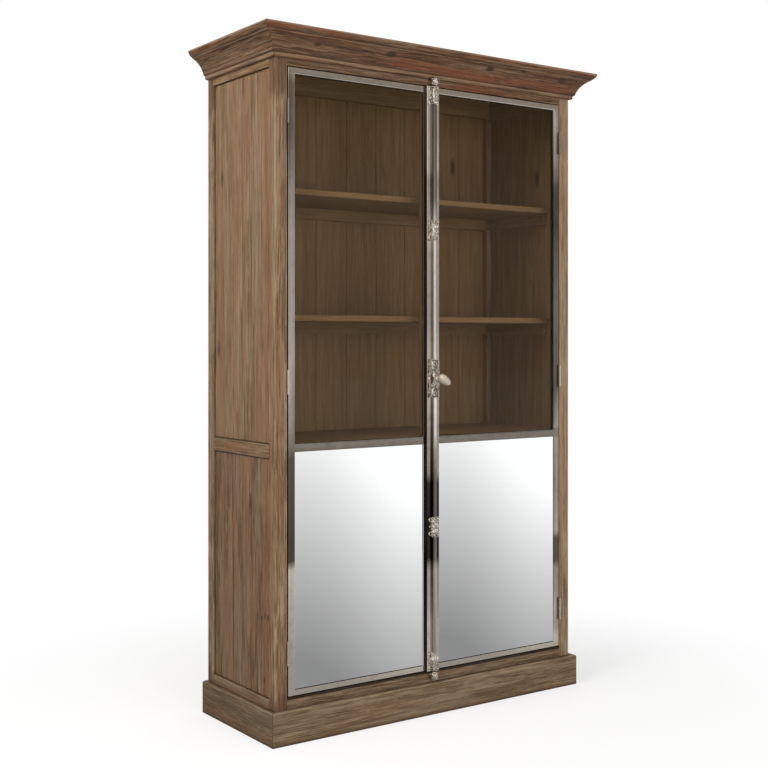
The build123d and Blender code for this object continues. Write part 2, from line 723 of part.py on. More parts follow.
# Rod guides: a plate with lobed corners and a bored saddle between two collars
saddle_radius = rod_radius + SADDLE_WALL
collar_radius = rod_radius + COLLAR_WALL
guide_plane = Plane(origin=(STRIP_MIDDLE, strip_front, 0), x_dir=(1, 0, 0), z_dir=(0, -1, 0))
with BuildPart() as rod_guides:
    with BuildSketch(guide_plane):
        with Locations(*[(0, z) for z in guide_heights]):
            RectangleRounded(GUIDE_WIDTH, GUIDE_HEIGHT, GUIDE_CORNER)
    extrude(amount=GUIDE_PLATE)
    for z in guide_heights:
        saddle_low = z - SADDLE_HEIGHT / 2
        saddle_high = z + SADDLE_HEIGHT / 2
        upright(STRIP_MIDDLE, rod_y, saddle_low, saddle_high, saddle_radius)
        block(
            (STRIP_MIDDLE - saddle_radius, rod_y, saddle_low),
            (STRIP_MIDDLE + saddle_radius, plate_front, saddle_high),
        )
        for collar_low in (saddle_low, saddle_high - COLLAR_HEIGHT):
            upright(STRIP_MIDDLE, rod_y, collar_low, collar_low + COLLAR_HEIGHT, collar_radius)
        lobe_x = GUIDE_WIDTH / 2 - LOBE_INSET
        lobe_z = GUIDE_HEIGHT / 2 - LOBE_INSET
        with Locations((STRIP_MIDDLE, plate_front, z)):
            with Locations(*[(a * lobe_x, 0, b * lobe_z) for a in (-1, 1) for b in (-1, 1)]):
                Sphere(LOBE_RADIUS)
        reach = GUIDE_HEIGHT
        upright(STRIP_MIDDLE, rod_y, z - reach, z + reach, rod_radius + ROD_CLEARANCE, Mode.SUBTRACT)
    block(
        (strip_left, strip_front, door_bottom),
        (strip_right, front, door_top),
        mode=Mode.SUBTRACT,
    )
    cut_screw_holes()
save(rod_guides, "rod_guides")

# Bolt case, open at the back, which the strip closes
with BuildPart() as bolt_case:
    with BuildSketch(guide_plane):
        with Locations((0, bolt_middle)):
            RectangleRounded(BOX_WIDTH, BOX_HEIGHT, BOX_CORNER)
    extrude(amount=BOX_DEPTH)
    fillet(bolt_case.faces().sort_by(Axis.Y)[0].edges(), BOX_EDGE)
    forward(STRIP_MIDDLE, bolt_middle, box_front, box_front - BOSS_HEIGHT, BOSS_DIAMETER / 2)
    block(
        (STRIP_MIDDLE - BOX_WIDTH / 2 + BOX_WALL, strip_front, box_low + BOX_END_WALL),
        (STRIP_MIDDLE + BOX_WIDTH / 2 - BOX_WALL, box_front + BOX_WALL, box_high - BOX_END_WALL),
        mode=Mode.SUBTRACT,
    )
    upright(STRIP_MIDDLE, rod_y, box_low, box_high, rod_radius + ROD_CLEARANCE, Mode.SUBTRACT)
    forward(
        STRIP_MIDDLE,
        bolt_middle,
        strip_front,
        box_front - BOSS_HEIGHT,
        SPINDLE_DIAMETER / 2 + SPINDLE_CLEARANCE,
        Mode.SUBTRACT,
    )
    cut_screw_holes()
save(bolt_case, "bolt_case")

with BuildPart() as bolt_screws:
    for x, z, seat in bolt_screw_places:
        forward(x, z, seat, seat - BOLT_SCREW_HEAD_HEIGHT, BOLT_SCREW_HEAD / 2)
        forward(x, z, seat, strip_front + BOLT_SCREW_GRIP, BOLT_SCREW_DIAMETER / 2)
save(bolt_screws, "bolt_screws")

# Spindle with its pinion
base_radius = pitch_radius * cos(radians(PRESSURE_ANGLE))
tip_radius = pitch_radius + PINION_ADDENDUM
root_radius = pitch_radius - PINION_DEDENDUM


def flank_angle(radius):
    """Give the half angle of a pinion tooth at a radius on its involute flank."""
    pressure = acos(min(1.0, base_radius / radius))
    at_pitch = radians(PRESSURE_ANGLE)
    rolled = tan(pressure) - pressure - (tan(at_pitch) - at_pitch)
    return tooth_thickness / (2 * pitch_radius) - rolled


def polar(radius, angle):
    """Give the sketch point at a radius and an angle."""
    return radius * cos(angle), radius * sin(angle)


flank_radii = [base_radius, pitch_radius, tip_radius]
flank = [polar(radius, flank_angle(radius)) for radius in flank_radii]
foot = polar(root_radius, flank_angle(base_radius))
gear_plane = Plane(
    origin=(STRIP_MIDDLE, rod_y + PINION_WIDTH / 2, bolt_middle), x_dir=(1, 0, 0), z_dir=(0, -1, 0)
)
with BuildPart() as spindle:
    with BuildSketch(gear_plane):
        Circle(root_radius)
        with PolarLocations(0, PINION_TEETH):
            with BuildSketch(mode=Mode.PRIVATE) as tooth:
                with BuildLine():
                    Line((0, 0), foot)
                    Line(foot, flank[0])
                    Spline(*flank)
                    ThreePointArc(flank[-1], (tip_radius, 0), (flank[-1][0], -flank[-1][1]))
                    Spline(*[(x, -y) for x, y in reversed(flank)])
                    Line((flank[0][0], -flank[0][1]), (foot[0], -foot[1]))
                    Line((foot[0], -foot[1]), (0, 0))
                make_face()
            add(tooth.sketch)
    extrude(amount=PINION_WIDTH)
    spindle_back = strip_front + SPINDLE_BEARING
    spindle_front = box_front - KNOB_STANDOFF
    forward(STRIP_MIDDLE, bolt_middle, spindle_back, spindle_front, SPINDLE_DIAMETER / 2)
save(spindle, "spindle_pinion")

# Knob: an oval on a short neck, pointing right and a little down
knob_y = box_front - BOSS_HEIGHT - KNOB_STANDOFF
knob_direction = (cos(radians(KNOB_ANGLE)), 0, sin(radians(KNOB_ANGLE)))
knob_centre = (
    STRIP_MIDDLE + KNOB_OFFSET * knob_direction[0],
    knob_y,
    bolt_middle + KNOB_OFFSET * knob_direction[2],
)
knob_normal = (knob_direction[2], 0, -knob_direction[0])
knob_plane = Plane(origin=knob_centre, x_dir=knob_direction, z_dir=knob_normal)
tip_centre = KNOB_LENGTH / 2 - KNOB_TIP_RADIUS
tip_drop = KNOB_DIAMETER / 2 - KNOB_TIP_RADIUS
belly_depth = (tip_centre**2 - tip_drop**2) / (2 * tip_drop)
belly_radius = KNOB_DIAMETER / 2 + belly_depth
belly_share = belly_radius / (belly_radius - KNOB_TIP_RADIUS)
belly_end = (tip_centre * belly_share, belly_depth * belly_share - belly_depth)
belly_start = (-belly_end[0], belly_end[1])
with BuildPart() as knob:
    with BuildSketch(knob_plane):
        with BuildLine():
            RadiusArc((-KNOB_LENGTH / 2, 0), belly_start, KNOB_TIP_RADIUS)
            RadiusArc(belly_start, belly_end, belly_radius)
            RadiusArc(belly_end, (KNOB_LENGTH / 2, 0), KNOB_TIP_RADIUS)
            Line((KNOB_LENGTH / 2, 0), (-KNOB_LENGTH / 2, 0))
        make_face()
    revolve(axis=Axis(knob_centre, knob_direction))
    neck_back = box_front - BOSS_HEIGHT - KNOB_GAP
    forward(STRIP_MIDDLE, bolt_middle, neck_back, knob_y, KNOB_NECK_DIAMETER / 2)
    forward(
        STRIP_MIDDLE,
        bolt_middle,
        neck_back,
        spindle_front - KNOB_SOCKET_CLEARANCE,
        SPINDLE_DIAMETER / 2 + KNOB_SOCKET_CLEARANCE,
        Mode.SUBTRACT,
    )
save(knob, "knob")


def bolt_rod(way, tip):
    """Make one rod: a shaft with a nose at its tip and a rack beside the pinion at its other end."""
    rack_side = -way
    pitch_line = STRIP_MIDDLE + rack_side * pitch_radius
    rack_root = pitch_line + rack_side * RACK_DEDENDUM
    rack_outer = rack_root + rack_side * RACK_BACK
    shoulder = bolt_middle + way * RACK_SHOULDER_RISE
    nose = tip - way * ROD_NOSE_LENGTH
    rack_end = bolt_middle - way * (RACK_TEETH_TRAILING + 0.5) * tooth_pitch
    rack_near = rod_y - PINION_WIDTH / 2
    rack_far = rod_y + PINION_WIDTH / 2
    slope = tan(radians(PRESSURE_ANGLE))
    half_tip = tooth_thickness / 2 - RACK_ADDENDUM * slope
    half_root = tooth_thickness / 2 + RACK_DEDENDUM * slope
    depth = RACK_ADDENDUM + RACK_DEDENDUM
    rack_plane = Plane(
        origin=(rack_root, rack_far, bolt_middle), x_dir=(-rack_side, 0, 0), z_dir=(0, rack_side, 0)
    )
    with BuildPart() as piece:
        with BuildSketch(rack_plane):
            steps = range(-RACK_TEETH_TRAILING, RACK_TEETH_LEADING)
            with Locations(*[(0, way * (step + 0.5) * tooth_pitch) for step in steps]):
                with BuildSketch(mode=Mode.PRIVATE) as tooth:
                    with BuildLine():
                        outline = [(0, -half_root), (depth, -half_tip), (depth, half_tip), (0, half_root)]
                        Polyline(*outline, close=True)
                    make_face()
                add(tooth.sketch)
        extrude(amount=-rack_side * PINION_WIDTH)
        block((rack_root, rack_near, rack_end), (rack_outer, rack_far, shoulder + way * RACK_SHOULDER))
        block(
            (rack_outer, rack_near, shoulder),
            (STRIP_MIDDLE - rack_side * rod_radius, rack_far, shoulder + way * RACK_SHOULDER),
        )
        low, high = sorted((shoulder, nose))
        upright(STRIP_MIDDLE, rod_y, low, high, rod_radius)
        low, high = sorted((nose, tip))
        upright(STRIP_MIDDLE, rod_y, low, high, ROD_NOSE_DIAMETER / 2)
    return piece


save(bolt_rod(1, door_top - ROD_TIP_DROP), "upper_rod")
save(bolt_rod(-1, door_bottom + ROD_TIP_DROP), "lower_rod")


def ball_keeper(way, mouth):
    """Make a ball keeper on a flanged foot, bored to take a rod's nose."""
    middle = mouth + way * KEEPER_REACH
    with BuildPart() as piece:
        with Locations((STRIP_MIDDLE, rod_y, middle)):
            Sphere(KEEPER_BALL / 2)
        low, high = sorted((mouth, middle))
        upright(STRIP_MIDDLE, rod_y, low, high, KEEPER_NECK / 2)
        forward(STRIP_MIDDLE, middle, front, rod_y, KEEPER_FOOT / 2)
        forward(STRIP_MIDDLE, middle, front, front - KEEPER_FLANGE_THICKNESS, KEEPER_FLANGE / 2)
        low, high = sorted((mouth, mouth + way * KEEPER_BORE_DEPTH))
        bore = ROD_NOSE_DIAMETER / 2 + KEEPER_BORE_CLEARANCE
        upright(STRIP_MIDDLE, rod_y, low, high, bore, Mode.SUBTRACT)
    return piece


save(ball_keeper(1, frieze_low), "keeper_top")
save(ball_keeper(-1, sill_top), "keeper_bottom")
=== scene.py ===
"""Looks of a weathered pine armoire with metal-framed doors, clear glass above and mirror below.

Everything is in metres in the part's own frame: +X to the right, the doors face -Y, +Z up.
"""

import itertools
import logging
import math
from collections.abc import Callable, Sequence
from dataclasses import dataclass, field, replace
from enum import Enum
from typing import TypeAlias

import bmesh
import bpy
from mathutils import Matrix, Vector

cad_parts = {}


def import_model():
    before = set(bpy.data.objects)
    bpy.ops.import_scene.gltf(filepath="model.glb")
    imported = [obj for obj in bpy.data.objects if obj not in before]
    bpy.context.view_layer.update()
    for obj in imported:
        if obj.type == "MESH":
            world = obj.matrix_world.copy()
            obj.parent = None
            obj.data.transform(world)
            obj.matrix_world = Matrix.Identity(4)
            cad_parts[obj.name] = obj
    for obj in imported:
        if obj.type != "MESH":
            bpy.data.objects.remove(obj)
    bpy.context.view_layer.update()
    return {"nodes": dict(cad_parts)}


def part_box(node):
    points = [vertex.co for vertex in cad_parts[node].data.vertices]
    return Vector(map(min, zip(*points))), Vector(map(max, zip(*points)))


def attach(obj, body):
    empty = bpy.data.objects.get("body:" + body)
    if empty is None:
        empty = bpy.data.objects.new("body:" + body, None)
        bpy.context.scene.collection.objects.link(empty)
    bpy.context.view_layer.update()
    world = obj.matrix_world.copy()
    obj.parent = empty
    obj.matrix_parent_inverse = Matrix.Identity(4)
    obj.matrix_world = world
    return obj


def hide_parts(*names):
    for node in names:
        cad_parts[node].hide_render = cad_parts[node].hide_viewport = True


LOG = logging.getLogger("armoire")
FULL_TURN = 2.0 * math.pi
NOWHERE = 9.0
END_DIRT = 0.9
END_DIRT_REACH = 0.0028
BOTH = (-1, 1)
HANDS = ("left", "right")

Point: TypeAlias = tuple[float, float]
Triple: TypeAlias = tuple[float, float, float]
Colour: TypeAlias = Triple
Section: TypeAlias = list[Triple]
Stops: TypeAlias = Sequence[tuple[float, Colour]]
Value: TypeAlias = "Wire | float | Sequence[float]"
Shift: TypeAlias = "Wire | float"
WHITE: Colour = (1.0, 1.0, 1.0)


class Axis(Enum):
    """A direction of the part's frame, as grain, board run or lathe axis."""

    X = 0
    Y = 1
    Z = 2


def maths(operation: str, swapped: bool = False) -> Callable[..., "Wire"]:
    """Make a method that adds one Math node.

    Args:
        operation: the node's operation.
        swapped: whether the other value comes first.

    Returns:
        The method; operations on one value leave the other at 0.
    """

    def method(self: "Wire", other: Value = 0.0) -> "Wire":
        """Give the result of the node."""
        first, second = (other, self) if swapped else (self, other)
        return self.shader.add("ShaderNodeMath", {"operation": operation}, {0: first, 1: second})["Value"]

    return method


class Wire:
    """A shader socket that takes part in Python arithmetic."""

    __add__ = __radd__ = maths("ADD")
    __mul__ = __rmul__ = maths("MULTIPLY")
    __sub__, __rsub__ = maths("SUBTRACT"), maths("SUBTRACT", swapped=True)
    __truediv__, __rtruediv__ = maths("DIVIDE"), maths("DIVIDE", swapped=True)
    __pow__, __rpow__ = maths("POWER"), maths("POWER", swapped=True)
    floor, sine = maths("FLOOR"), maths("SINE")
    least, most = maths("MINIMUM"), maths("MAXIMUM")

    def __init__(self, shader: "Graph", socket: bpy.types.NodeSocket) -> None:
        """Keep the socket and the tree that it belongs to."""
        self.shader = shader
        self.socket = socket


class Node:
    """A node whose outputs are read by name as wires."""

    def __init__(self, shader: "Graph", node: bpy.types.Node) -> None:
        """Keep the node and its tree."""
        self.shader = shader
        self.node = node

    def __getitem__(self, name: str) -> Wire:
        """Give the enabled output of that name."""
        found = [s for s in self.node.outputs if name in (s.name, s.identifier) and s.enabled]
        return Wire(self.shader, found[0])


class Graph:
    """Builds the node tree of one material, of the world or of a modifier."""

    def __init__(self, tree: bpy.types.NodeTree) -> None:
        """Start from an empty tree."""
        self.tree = tree
        tree.nodes.clear()

    def add(self, kind: str, settings: dict | None = None, values: dict | None = None) -> Node:
        """Add one node.

        Args:
            kind: the node's type name.
            settings: its properties, with "stops" for the stops of a colour ramp.
            values: what its sockets hold, by name, identifier or number.

        Returns:
            The node, ready for its outputs to be read.
        """
        node = self.tree.nodes.new(kind)
        for name, setting in (settings or {}).items():
            if name == "stops":
                self._set_stops(node, setting)
            else:
                setattr(node, name, setting)
        for key, value in (values or {}).items():
            self._feed(self._socket(node, key), value)
        return Node(self, node)

    @staticmethod
    def _set_stops(node: bpy.types.Node, stops: Stops) -> None:
        """Write the stops of a colour ramp.

        Args:
            node: the ramp.
            stops: their positions and colours.
        """
        elements = node.color_ramp.elements
        while len(elements) < len(stops):
            elements.new(1.0)
        for element, (position, colour) in zip(elements, stops):
            element.position = position
            element.color = (*colour, 1.0)

    @staticmethod
    def _socket(node: bpy.types.Node, key: str | int) -> bpy.types.NodeSocket:
        """Find an input of a node.

        Args:
            node: the node.
            key: the input's number, or the name or identifier of an enabled input.

        Returns:
            The input.
        """
        if isinstance(key, int):
            return node.inputs[key]
        return next(s for s in node.inputs if key in (s.name, s.identifier) and s.enabled)

    def _feed(self, socket: bpy.types.NodeSocket, value: Value) -> None:
        """Link a wire to an input, or set a plain value on it.

        Args:
            socket: the input.
            value: the wire or the value.
        """
        if isinstance(value, Wire):
            self.tree.links.new(value.socket, socket)
        else:
            socket.default_value = (*value[:3], 1.0) if socket.type == "RGBA" else value

    def split(self, vector: Wire) -> tuple[Wire, Wire, Wire]:
        """Give the three parts of a vector."""
        parts = self.add("ShaderNodeSeparateXYZ", None, {"Vector": vector})
        return parts["X"], parts["Y"], parts["Z"]

    def vector(self, x: Value, y: Value, z: Value) -> Wire:
        """Join three values into a vector."""
        return self.add("ShaderNodeCombineXYZ", None, {"X": x, "Y": y, "Z": z})["Vector"]

    def facing(self) -> tuple[Wire, Wire, Wire]:
        """Give the three parts of the direction that a face looks in."""
        return self.split(self.add("ShaderNodeTexCoord")["Normal"])

    def noise(self, place: Wire, scale: float, detail: float = 2.0, roughness: float = 0.5) -> Wire:
        """Give smooth noise about one half."""
        values = {"Vector": place, "Scale": scale, "Detail": detail, "Roughness": roughness}
        return self.add("ShaderNodeTexNoise", None, values)["Fac"]

    def step(self, value: Wire, low: float, high: float, bottom: float = 0.0, top: float = 1.0) -> Wire:
        """Rise smoothly from bottom to top while a value goes from low to high."""
        values = {"Value": value, "From Min": low, "From Max": high, "To Min": bottom, "To Max": top}
        return self.add("ShaderNodeMapRange", {"interpolation_type": "SMOOTHSTEP"}, values)["Result"]

    def mix(self, share: Value, first: Value, second: Value) -> Wire:
        """Mix two colours."""
        values = {"Factor_Float": share, "A_Color": first, "B_Color": second}
        return self.add("ShaderNodeMix", {"data_type": "RGBA"}, values)["Result_Color"]

    def ramp(self, value: Wire, stops: Stops) -> Wire:
        """Give the colour of a ramp at a value."""
        return self.add("ShaderNodeValToRGB", {"stops": stops}, {"Fac": value})["Color"]

    def bump(self, height: Wire, distance: float, strength: float) -> Wire:
        """Turn a height into a normal."""
        values = {"Height": height, "Distance": distance, "Strength": strength}
        return self.add("ShaderNodeBump", None, values)["Normal"]


def surface(label: str, build: Callable[[Graph, Wire], dict]) -> bpy.types.Material:
    """Make a material with one Principled surface.

    Args:
        label: the material's name.
        build: adds the nodes, and gives the sockets of the surface from the place on the piece.

    Returns:
        The material.
    """
    material = bpy.data.materials.new(label)
    material.use_nodes = True
    shader = Graph(material.node_tree)
    place = shader.add("ShaderNodeTexCoord")["Object"]
    face = shader.add("ShaderNodeBsdfPrincipled", None, build(shader, place))
    shader.add("ShaderNodeOutputMaterial", None, {"Surface": face["BSDF"]})
    return material


@dataclass(frozen=True)
class Boards:
    """A run of equal boards side by side: the axis they follow, where they start, their pitch and their number.

    Where the run sits in a frame, foot and head are its ends, and shade is painted along the frame.
    """

    axis: Axis
    start: float
    pitch: float
    count: int
    foot: float = 0.0
    head: float = 0.0


class Mark(Enum):
    """The marks in wood: their width and length, and the detail of their noise."""

    BROAD = (0.020, 0.34, 3.0)
    STREAK = (0.0046, 0.10, 4.0)
    FIBRE = (0.0020, 0.05, 3.0)
    PATCH = (0.12, 0.45, 3.0)
    FLUSH = (0.055, 0.60, 3.0)
    CHALK = (0.0042, 0.045, 3.0)
    LINE = (0.0032, 0.20, 3.0)


@dataclass(frozen=True)
class Pine:
    """Weathered pine: broken streaks along the grain, chalky and reddish patches, knots and worn edges.

    Marks are knots at a place along the grain, a height and a radius; streaks are red lines at a height with a
    reach; soot is the height above which an edge is painted black as shadow.
    """

    label: str
    brown: Colour
    middle: Colour
    pale: Colour
    red: Colour
    red_share: float = 0.55
    knot_share: float = 0.2
    figure: float = 0.2
    grey: Colour = (0.250, 0.192, 0.142)
    grey_share: float = 0.45
    dark: Colour = (0.042, 0.025, 0.013)
    stain: Colour = (0.082, 0.034, 0.016)
    chalk: Colour = (0.385, 0.30, 0.21)
    chalk_share: float = 0.34
    line_share: float = 0.50
    ring_pitch: float = 0.011
    softness: float = 0.11
    marks: tuple[Triple, ...] = ()
    streaks: tuple[Point, ...] = ()
    stained_above: float = NOWHERE
    stained_below: float = -NOWHERE
    joint: float = 0.28
    back_joint: float = 0.85
    painted_shadow_from: float | None = None
    black: Colour = (0.010, 0.007, 0.004)

    def material(self, grain: Axis, seed: float, boards: Boards | None = None) -> bpy.types.Material:
        """Make the finish for one piece.

        Args:
            grain: the axis that the grain follows.
            seed: shifts the pattern, so that no two pieces are alike.
            boards: the boards that the piece is made of, each with a pattern of its own.

        Returns:
            The material.
        """

        def build(shader: Graph, place: Wire) -> dict[str, Value]:
            """Add the layers of the wood.

            Args:
                shader: the material's nodes.
                place: the place on the piece.

            Returns:
                What the surface's sockets hold.
            """
            parts = shader.split(place)
            along = parts[grain.value]
            one, two = [part for axis, part in zip(Axis, parts) if axis is not grain]
            shift = self._shift(shader, parts, seed, boards)
            side_one, side_two, far = one + shift, two + shift * 0.6, shift * 3.7 + seed

            def layer(mark: Mark) -> Wire:
                """Give the noise of one kind of mark.

                Args:
                    mark: the kind.

                Returns:
                    Noise about one half.
                """
                width, length, detail = mark.value
                spot = shader.vector(side_one, side_two, along * (width / length) + far)
                return shader.noise(spot, 1.0 / width, detail, 0.62)

            broad, streak, fibre = layer(Mark.BROAD), layer(Mark.STREAK), layer(Mark.FIBRE)
            blend = broad * 0.34 + streak * 0.38 + fibre * 0.28
            tone = shader.step(blend, 0.5 - self.softness, 0.5 + self.softness)
            colour = shader.ramp(tone, [(0.0, self.brown), (0.5, self.middle), (1.0, self.pale)])
            greyness = shader.step(layer(Mark.PATCH), 0.46, 0.64, 0.0, self.grey_share)
            colour = shader.mix(greyness, colour, self.grey)
            flush = layer(Mark.FLUSH) * 0.75 + streak * 0.25
            redness = shader.step(flush, 0.50, 0.61, 0.0, self.red_share)
            for middle, reach in self.streaks:
                away = two - middle + (broad - 0.5) * 0.016
                redness = redness.most(shader.step(away * away, 0.0, reach * reach, 0.62, 0.0))
            colour = shader.mix(redness, colour, self.red)
            uneven = along + (broad - 0.5) * 0.12
            stain = shader.step(uneven, self.stained_above, self.stained_above + 0.05, 0.0, 0.62)
            stain = stain.most(shader.step(uneven, self.stained_below - 0.05, self.stained_below, 0.55, 0.0))
            colour = shader.mix(stain, colour, self.stain)
            rings = self._rings(shader, one, two, along, shift)
            colour = shader.mix(rings * self.figure, colour, self.brown)
            chalky = shader.step(layer(Mark.CHALK), 0.57, 0.72, 0.0, self.chalk_share)
            colour = shader.mix(chalky, colour, self.chalk)
            lines = shader.step(layer(Mark.LINE), 0.55, 0.68)
            colour = shader.mix(lines * self.line_share, colour, self.dark)
            knots = self._knots(shader, one, two, along, shift)
            colour = shader.mix(knots, colour, self.dark)
            worn = shader.add("ShaderNodeAttribute", {"attribute_name": "wear"})["Fac"]
            rubbed = shader.step(worn + (streak - 0.5) * 0.9, 0.40, 0.95, 0.0, 0.62)
            colour = shader.mix(rubbed, colour, self.chalk)
            dirty = shader.step(worn * -1.0 + (streak - 0.5) * 0.5, 0.25, 0.9, 0.0, 0.75)
            if boards is not None:
                across = parts[boards.axis.value]
                dirty = dirty.most(self._joints(shader, across, boards))
                # Along the frame the boards are darkened as painted shade of the recess; the rest of this darkening
                # is dirt and joints.
                if boards.head > boards.foot:
                    dirty = dirty.most(self._painted_frame_shade(shader, across, along, boards, streak))
            colour = shader.mix(dirty, colour, self.dark)
            # Painted shadow: above that height the edge is darkened towards black, standing in for the shadow under
            # the doors.
            if self.painted_shadow_from is not None:
                painted_shadow = shader.step(two + (broad - 0.5) * 0.008, self.painted_shadow_from, self.painted_shadow_from + 0.003, 0.0, 0.90)
                colour = shader.mix(painted_shadow, colour, self.black)
            height = fibre * 0.5 + streak * 0.5 - lines * 0.5 - knots * 0.3
            return {
                "Base Color": colour,
                "Roughness": shader.step(fibre, 0.3, 0.7, 0.50, 0.74),
                "Normal": shader.bump(height, 0.0012, 0.6),
                "IOR": 1.45,
                "Specular IOR Level": 0.28,
            }

        return surface(f"{self.label}_{seed:.2f}", build)

    def _joints(self, shader: Graph, across: Wire, boards: Boards) -> Wire:
        """Give the dark joints between boards that lie side by side, deepest on the back of the case.

        Args:
            shader: the material's nodes.
            across: the place across the boards.
            boards: the boards.

        Returns:
            How dark a place is.
        """
        place = (across - boards.start) / boards.pitch
        share = place - place.floor()
        _, back, _ = shader.facing()
        depth = shader.step(back, 0.5, 0.9, self.joint, self.back_joint)
        return shader.step(share.least(1.0 - share) * boards.pitch, 0.0004, 0.0018, 1.0, 0.0) * depth

    @staticmethod
    def _painted_frame_shade(shader: Graph, across: Wire, along: Wire, boards: Boards, uneven: Wire) -> Wire:
        """Give the painted shade along the frame that a run of boards sits in, standing in for the shadow of the
        recess.

        Args:
            shader: the material's nodes.
            across: the place across the boards.
            along: the place along the boards.
            boards: the boards.
            uneven: noise that frays the painted shade.

        Returns:
            How deep the painted shade is at a place.
        """
        end = boards.start + boards.pitch * boards.count
        sides = (across - boards.start).least(end - across)
        near = sides.least((along - boards.foot).least(boards.head - along))
        return shader.step(near + (uneven - 0.5) * 0.008, 0.0026, 0.0064, 0.9, 0.0)

    @staticmethod
    def _shift(shader: Graph, parts: Sequence[Wire], seed: float, boards: Boards | None) -> Shift:
        """Give how far the pattern is moved.

        Args:
            shader: the material's nodes.
            parts: the three parts of the place.
            seed: of the piece.
            boards: the boards of the piece.

        Returns:
            One step for the piece, or one for each of its boards.
        """
        if boards is None:
            return seed * 1.37
        index = ((parts[boards.axis.value] - boards.start) / boards.pitch).floor()
        values = {"W": index + seed * 7.0}
        return shader.add("ShaderNodeTexWhiteNoise", {"noise_dimensions": "1D"}, values)["Value"] * 9.0 + seed

    def _rings(self, shader: Graph, one: Wire, two: Wire, along: Wire, shift: Shift) -> Wire:
        """Give the year rings where a face cuts a trunk that leans a little to the grain.

        Args:
            shader: the material's nodes.
            one: the place across the grain, one way.
            two: the place across the grain, the other way.
            along: the place along the grain.
            shift: moves the pattern.

        Returns:
            How late in the year the wood grew.
        """
        wobble_place = shader.vector(one * 3.0 + shift, two * 3.0, along * 0.7)
        wobble = shader.noise(wobble_place, 2.2, 2.0) - 0.5
        heart_one = one + shift * 0.031 + along * 0.022 + wobble * 0.05
        heart_two = two + shift * 0.017 + 0.06
        radius = (heart_one * heart_one + heart_two * heart_two) ** 0.5
        return shader.step((radius * (FULL_TURN / self.ring_pitch)).sine(), -0.2, 0.95)

    def _knots(self, shader: Graph, one: Wire, two: Wire, along: Wire, shift: Shift) -> Wire:
        """Give a few dark knots, longer along the grain.

        Args:
            shader: the material's nodes.
            one: the place across the grain, one way.
            two: the place across the grain, the other way.
            along: the place along the grain.
            shift: moves the pattern.

        Returns:
            How dark a place is.
        """
        knot_place = shader.vector(one * 9.0 + shift, two * 9.0 + shift, along * 3.2 + shift)
        cells = shader.add("ShaderNodeTexVoronoi", None, {"Vector": knot_place, "Scale": 1.0})
        red, _, _ = shader.split(cells["Color"])
        present = shader.step(red, 1.0 - self.knot_share, 1.02 - self.knot_share)
        knots = present * shader.step(cells["Distance"], 0.04, 0.16, 0.85, 0.0)
        for place_along, place_two, radius in self.marks:
            run, rise = (along - place_along) * 0.42, two - place_two
            knots = knots.most(shader.step((run * run + rise * rise) ** 0.5, radius * 0.3, radius, 0.9, 0.0))
        return knots


@dataclass(frozen=True)
class Finish:
    """A finish without a grain."""

    label: str

    def sockets(self, shader: Graph, place: Wire) -> dict[str, Value]:
        """Add the nodes of the finish.

        Args:
            shader: the material's nodes.
            place: the place on the piece.

        Returns:
            What the surface's sockets hold.
        """
        raise NotImplementedError

    def material(self) -> bpy.types.Material:
        """Make the finish."""
        return surface(self.label, self.sockets)


@dataclass(frozen=True)
class Nickel(Finish):
    """Polished nickel with faint smudges; on castings the hollows are darker.

    Clouds are painted reflections: shares of the dark colour at heights of long bars, standing in for the dark and
    light reflections that the bars show; haze makes the metal duller. The sides of such a strip may be painted black
    as shade, and umber as shade from some height.
    """

    base: Colour
    tarnish_and_painted_reflection: Colour
    smooth: float
    dull: float
    hollow_reach: float = 0.0
    painted_reflection_bands: tuple[Point, ...] = ()
    haze: float = 0.0
    painted_shade_sides: bool = False
    black: Colour = (0.006, 0.004, 0.003)
    umber: Colour = (0.110, 0.062, 0.025)
    umber_from: float = 0.92
    tallest: float = 2.3

    def sockets(self, shader: Graph, place: Wire) -> dict[str, Value]:
        """Add smudges, slow waves in the surface and tarnish.

        Args:
            shader: the material's nodes.
            place: the place on the piece.

        Returns:
            What the surface's sockets hold.
        """
        smudge = shader.noise(place, 38.0, 3.0, 0.6)
        colour = shader.mix(shader.step(smudge, 0.45, 0.75, 0.0, 0.14), self.base, self.tarnish_and_painted_reflection)
        metallic: Value = 1.0 - self.haze
        # Clouds paint reflections: by height the metal is drawn towards the dark colour, standing in for the dark
        # and light bands that the bars reflect.
        if self.painted_reflection_bands:
            across, _, height = shader.split(place)
            uneven = shader.noise(shader.vector(across * 4.0, 0.0, height), 6.0, 2.0) - 0.5
            stops = [(level / self.tallest, (share,) * 3) for level, share in self.painted_reflection_bands]
            painted_reflection = shader.ramp(height / self.tallest + uneven * 0.014, stops)
            colour = shader.mix(painted_reflection, colour, self.tarnish_and_painted_reflection)
            metallic = shader.step(painted_reflection, 0.0, 0.5, 1.0 - self.haze, 1.0)
            # The strip's sides are painted shade: black, and umber from some height up, standing in for the dark gap
            # beside the strip.
            if self.painted_shade_sides:
                sideways, _, _ = shader.facing()
                upper = shader.step(height, self.umber_from - 0.01, self.umber_from + 0.01)
                side = shader.mix(upper, self.black, self.umber)
                colour = shader.mix(shader.step(sideways * sideways, 0.5, 0.9), colour, side)
        if self.hollow_reach:
            settings = {"samples": 8, "only_local": True}
            shade = shader.add("ShaderNodeAmbientOcclusion", settings, {"Distance": self.hollow_reach})
            colour = shader.mix(shader.step(shade["AO"], 0.35, 0.9), self.tarnish_and_painted_reflection, colour)
        return {
            "Base Color": colour,
            "Metallic": metallic,
            "Roughness": shader.step(smudge, 0.35, 0.7, self.smooth, self.dull),
            "Normal": shader.bump(shader.noise(place, 9.0, 1.0), 0.004, 0.25),
        }


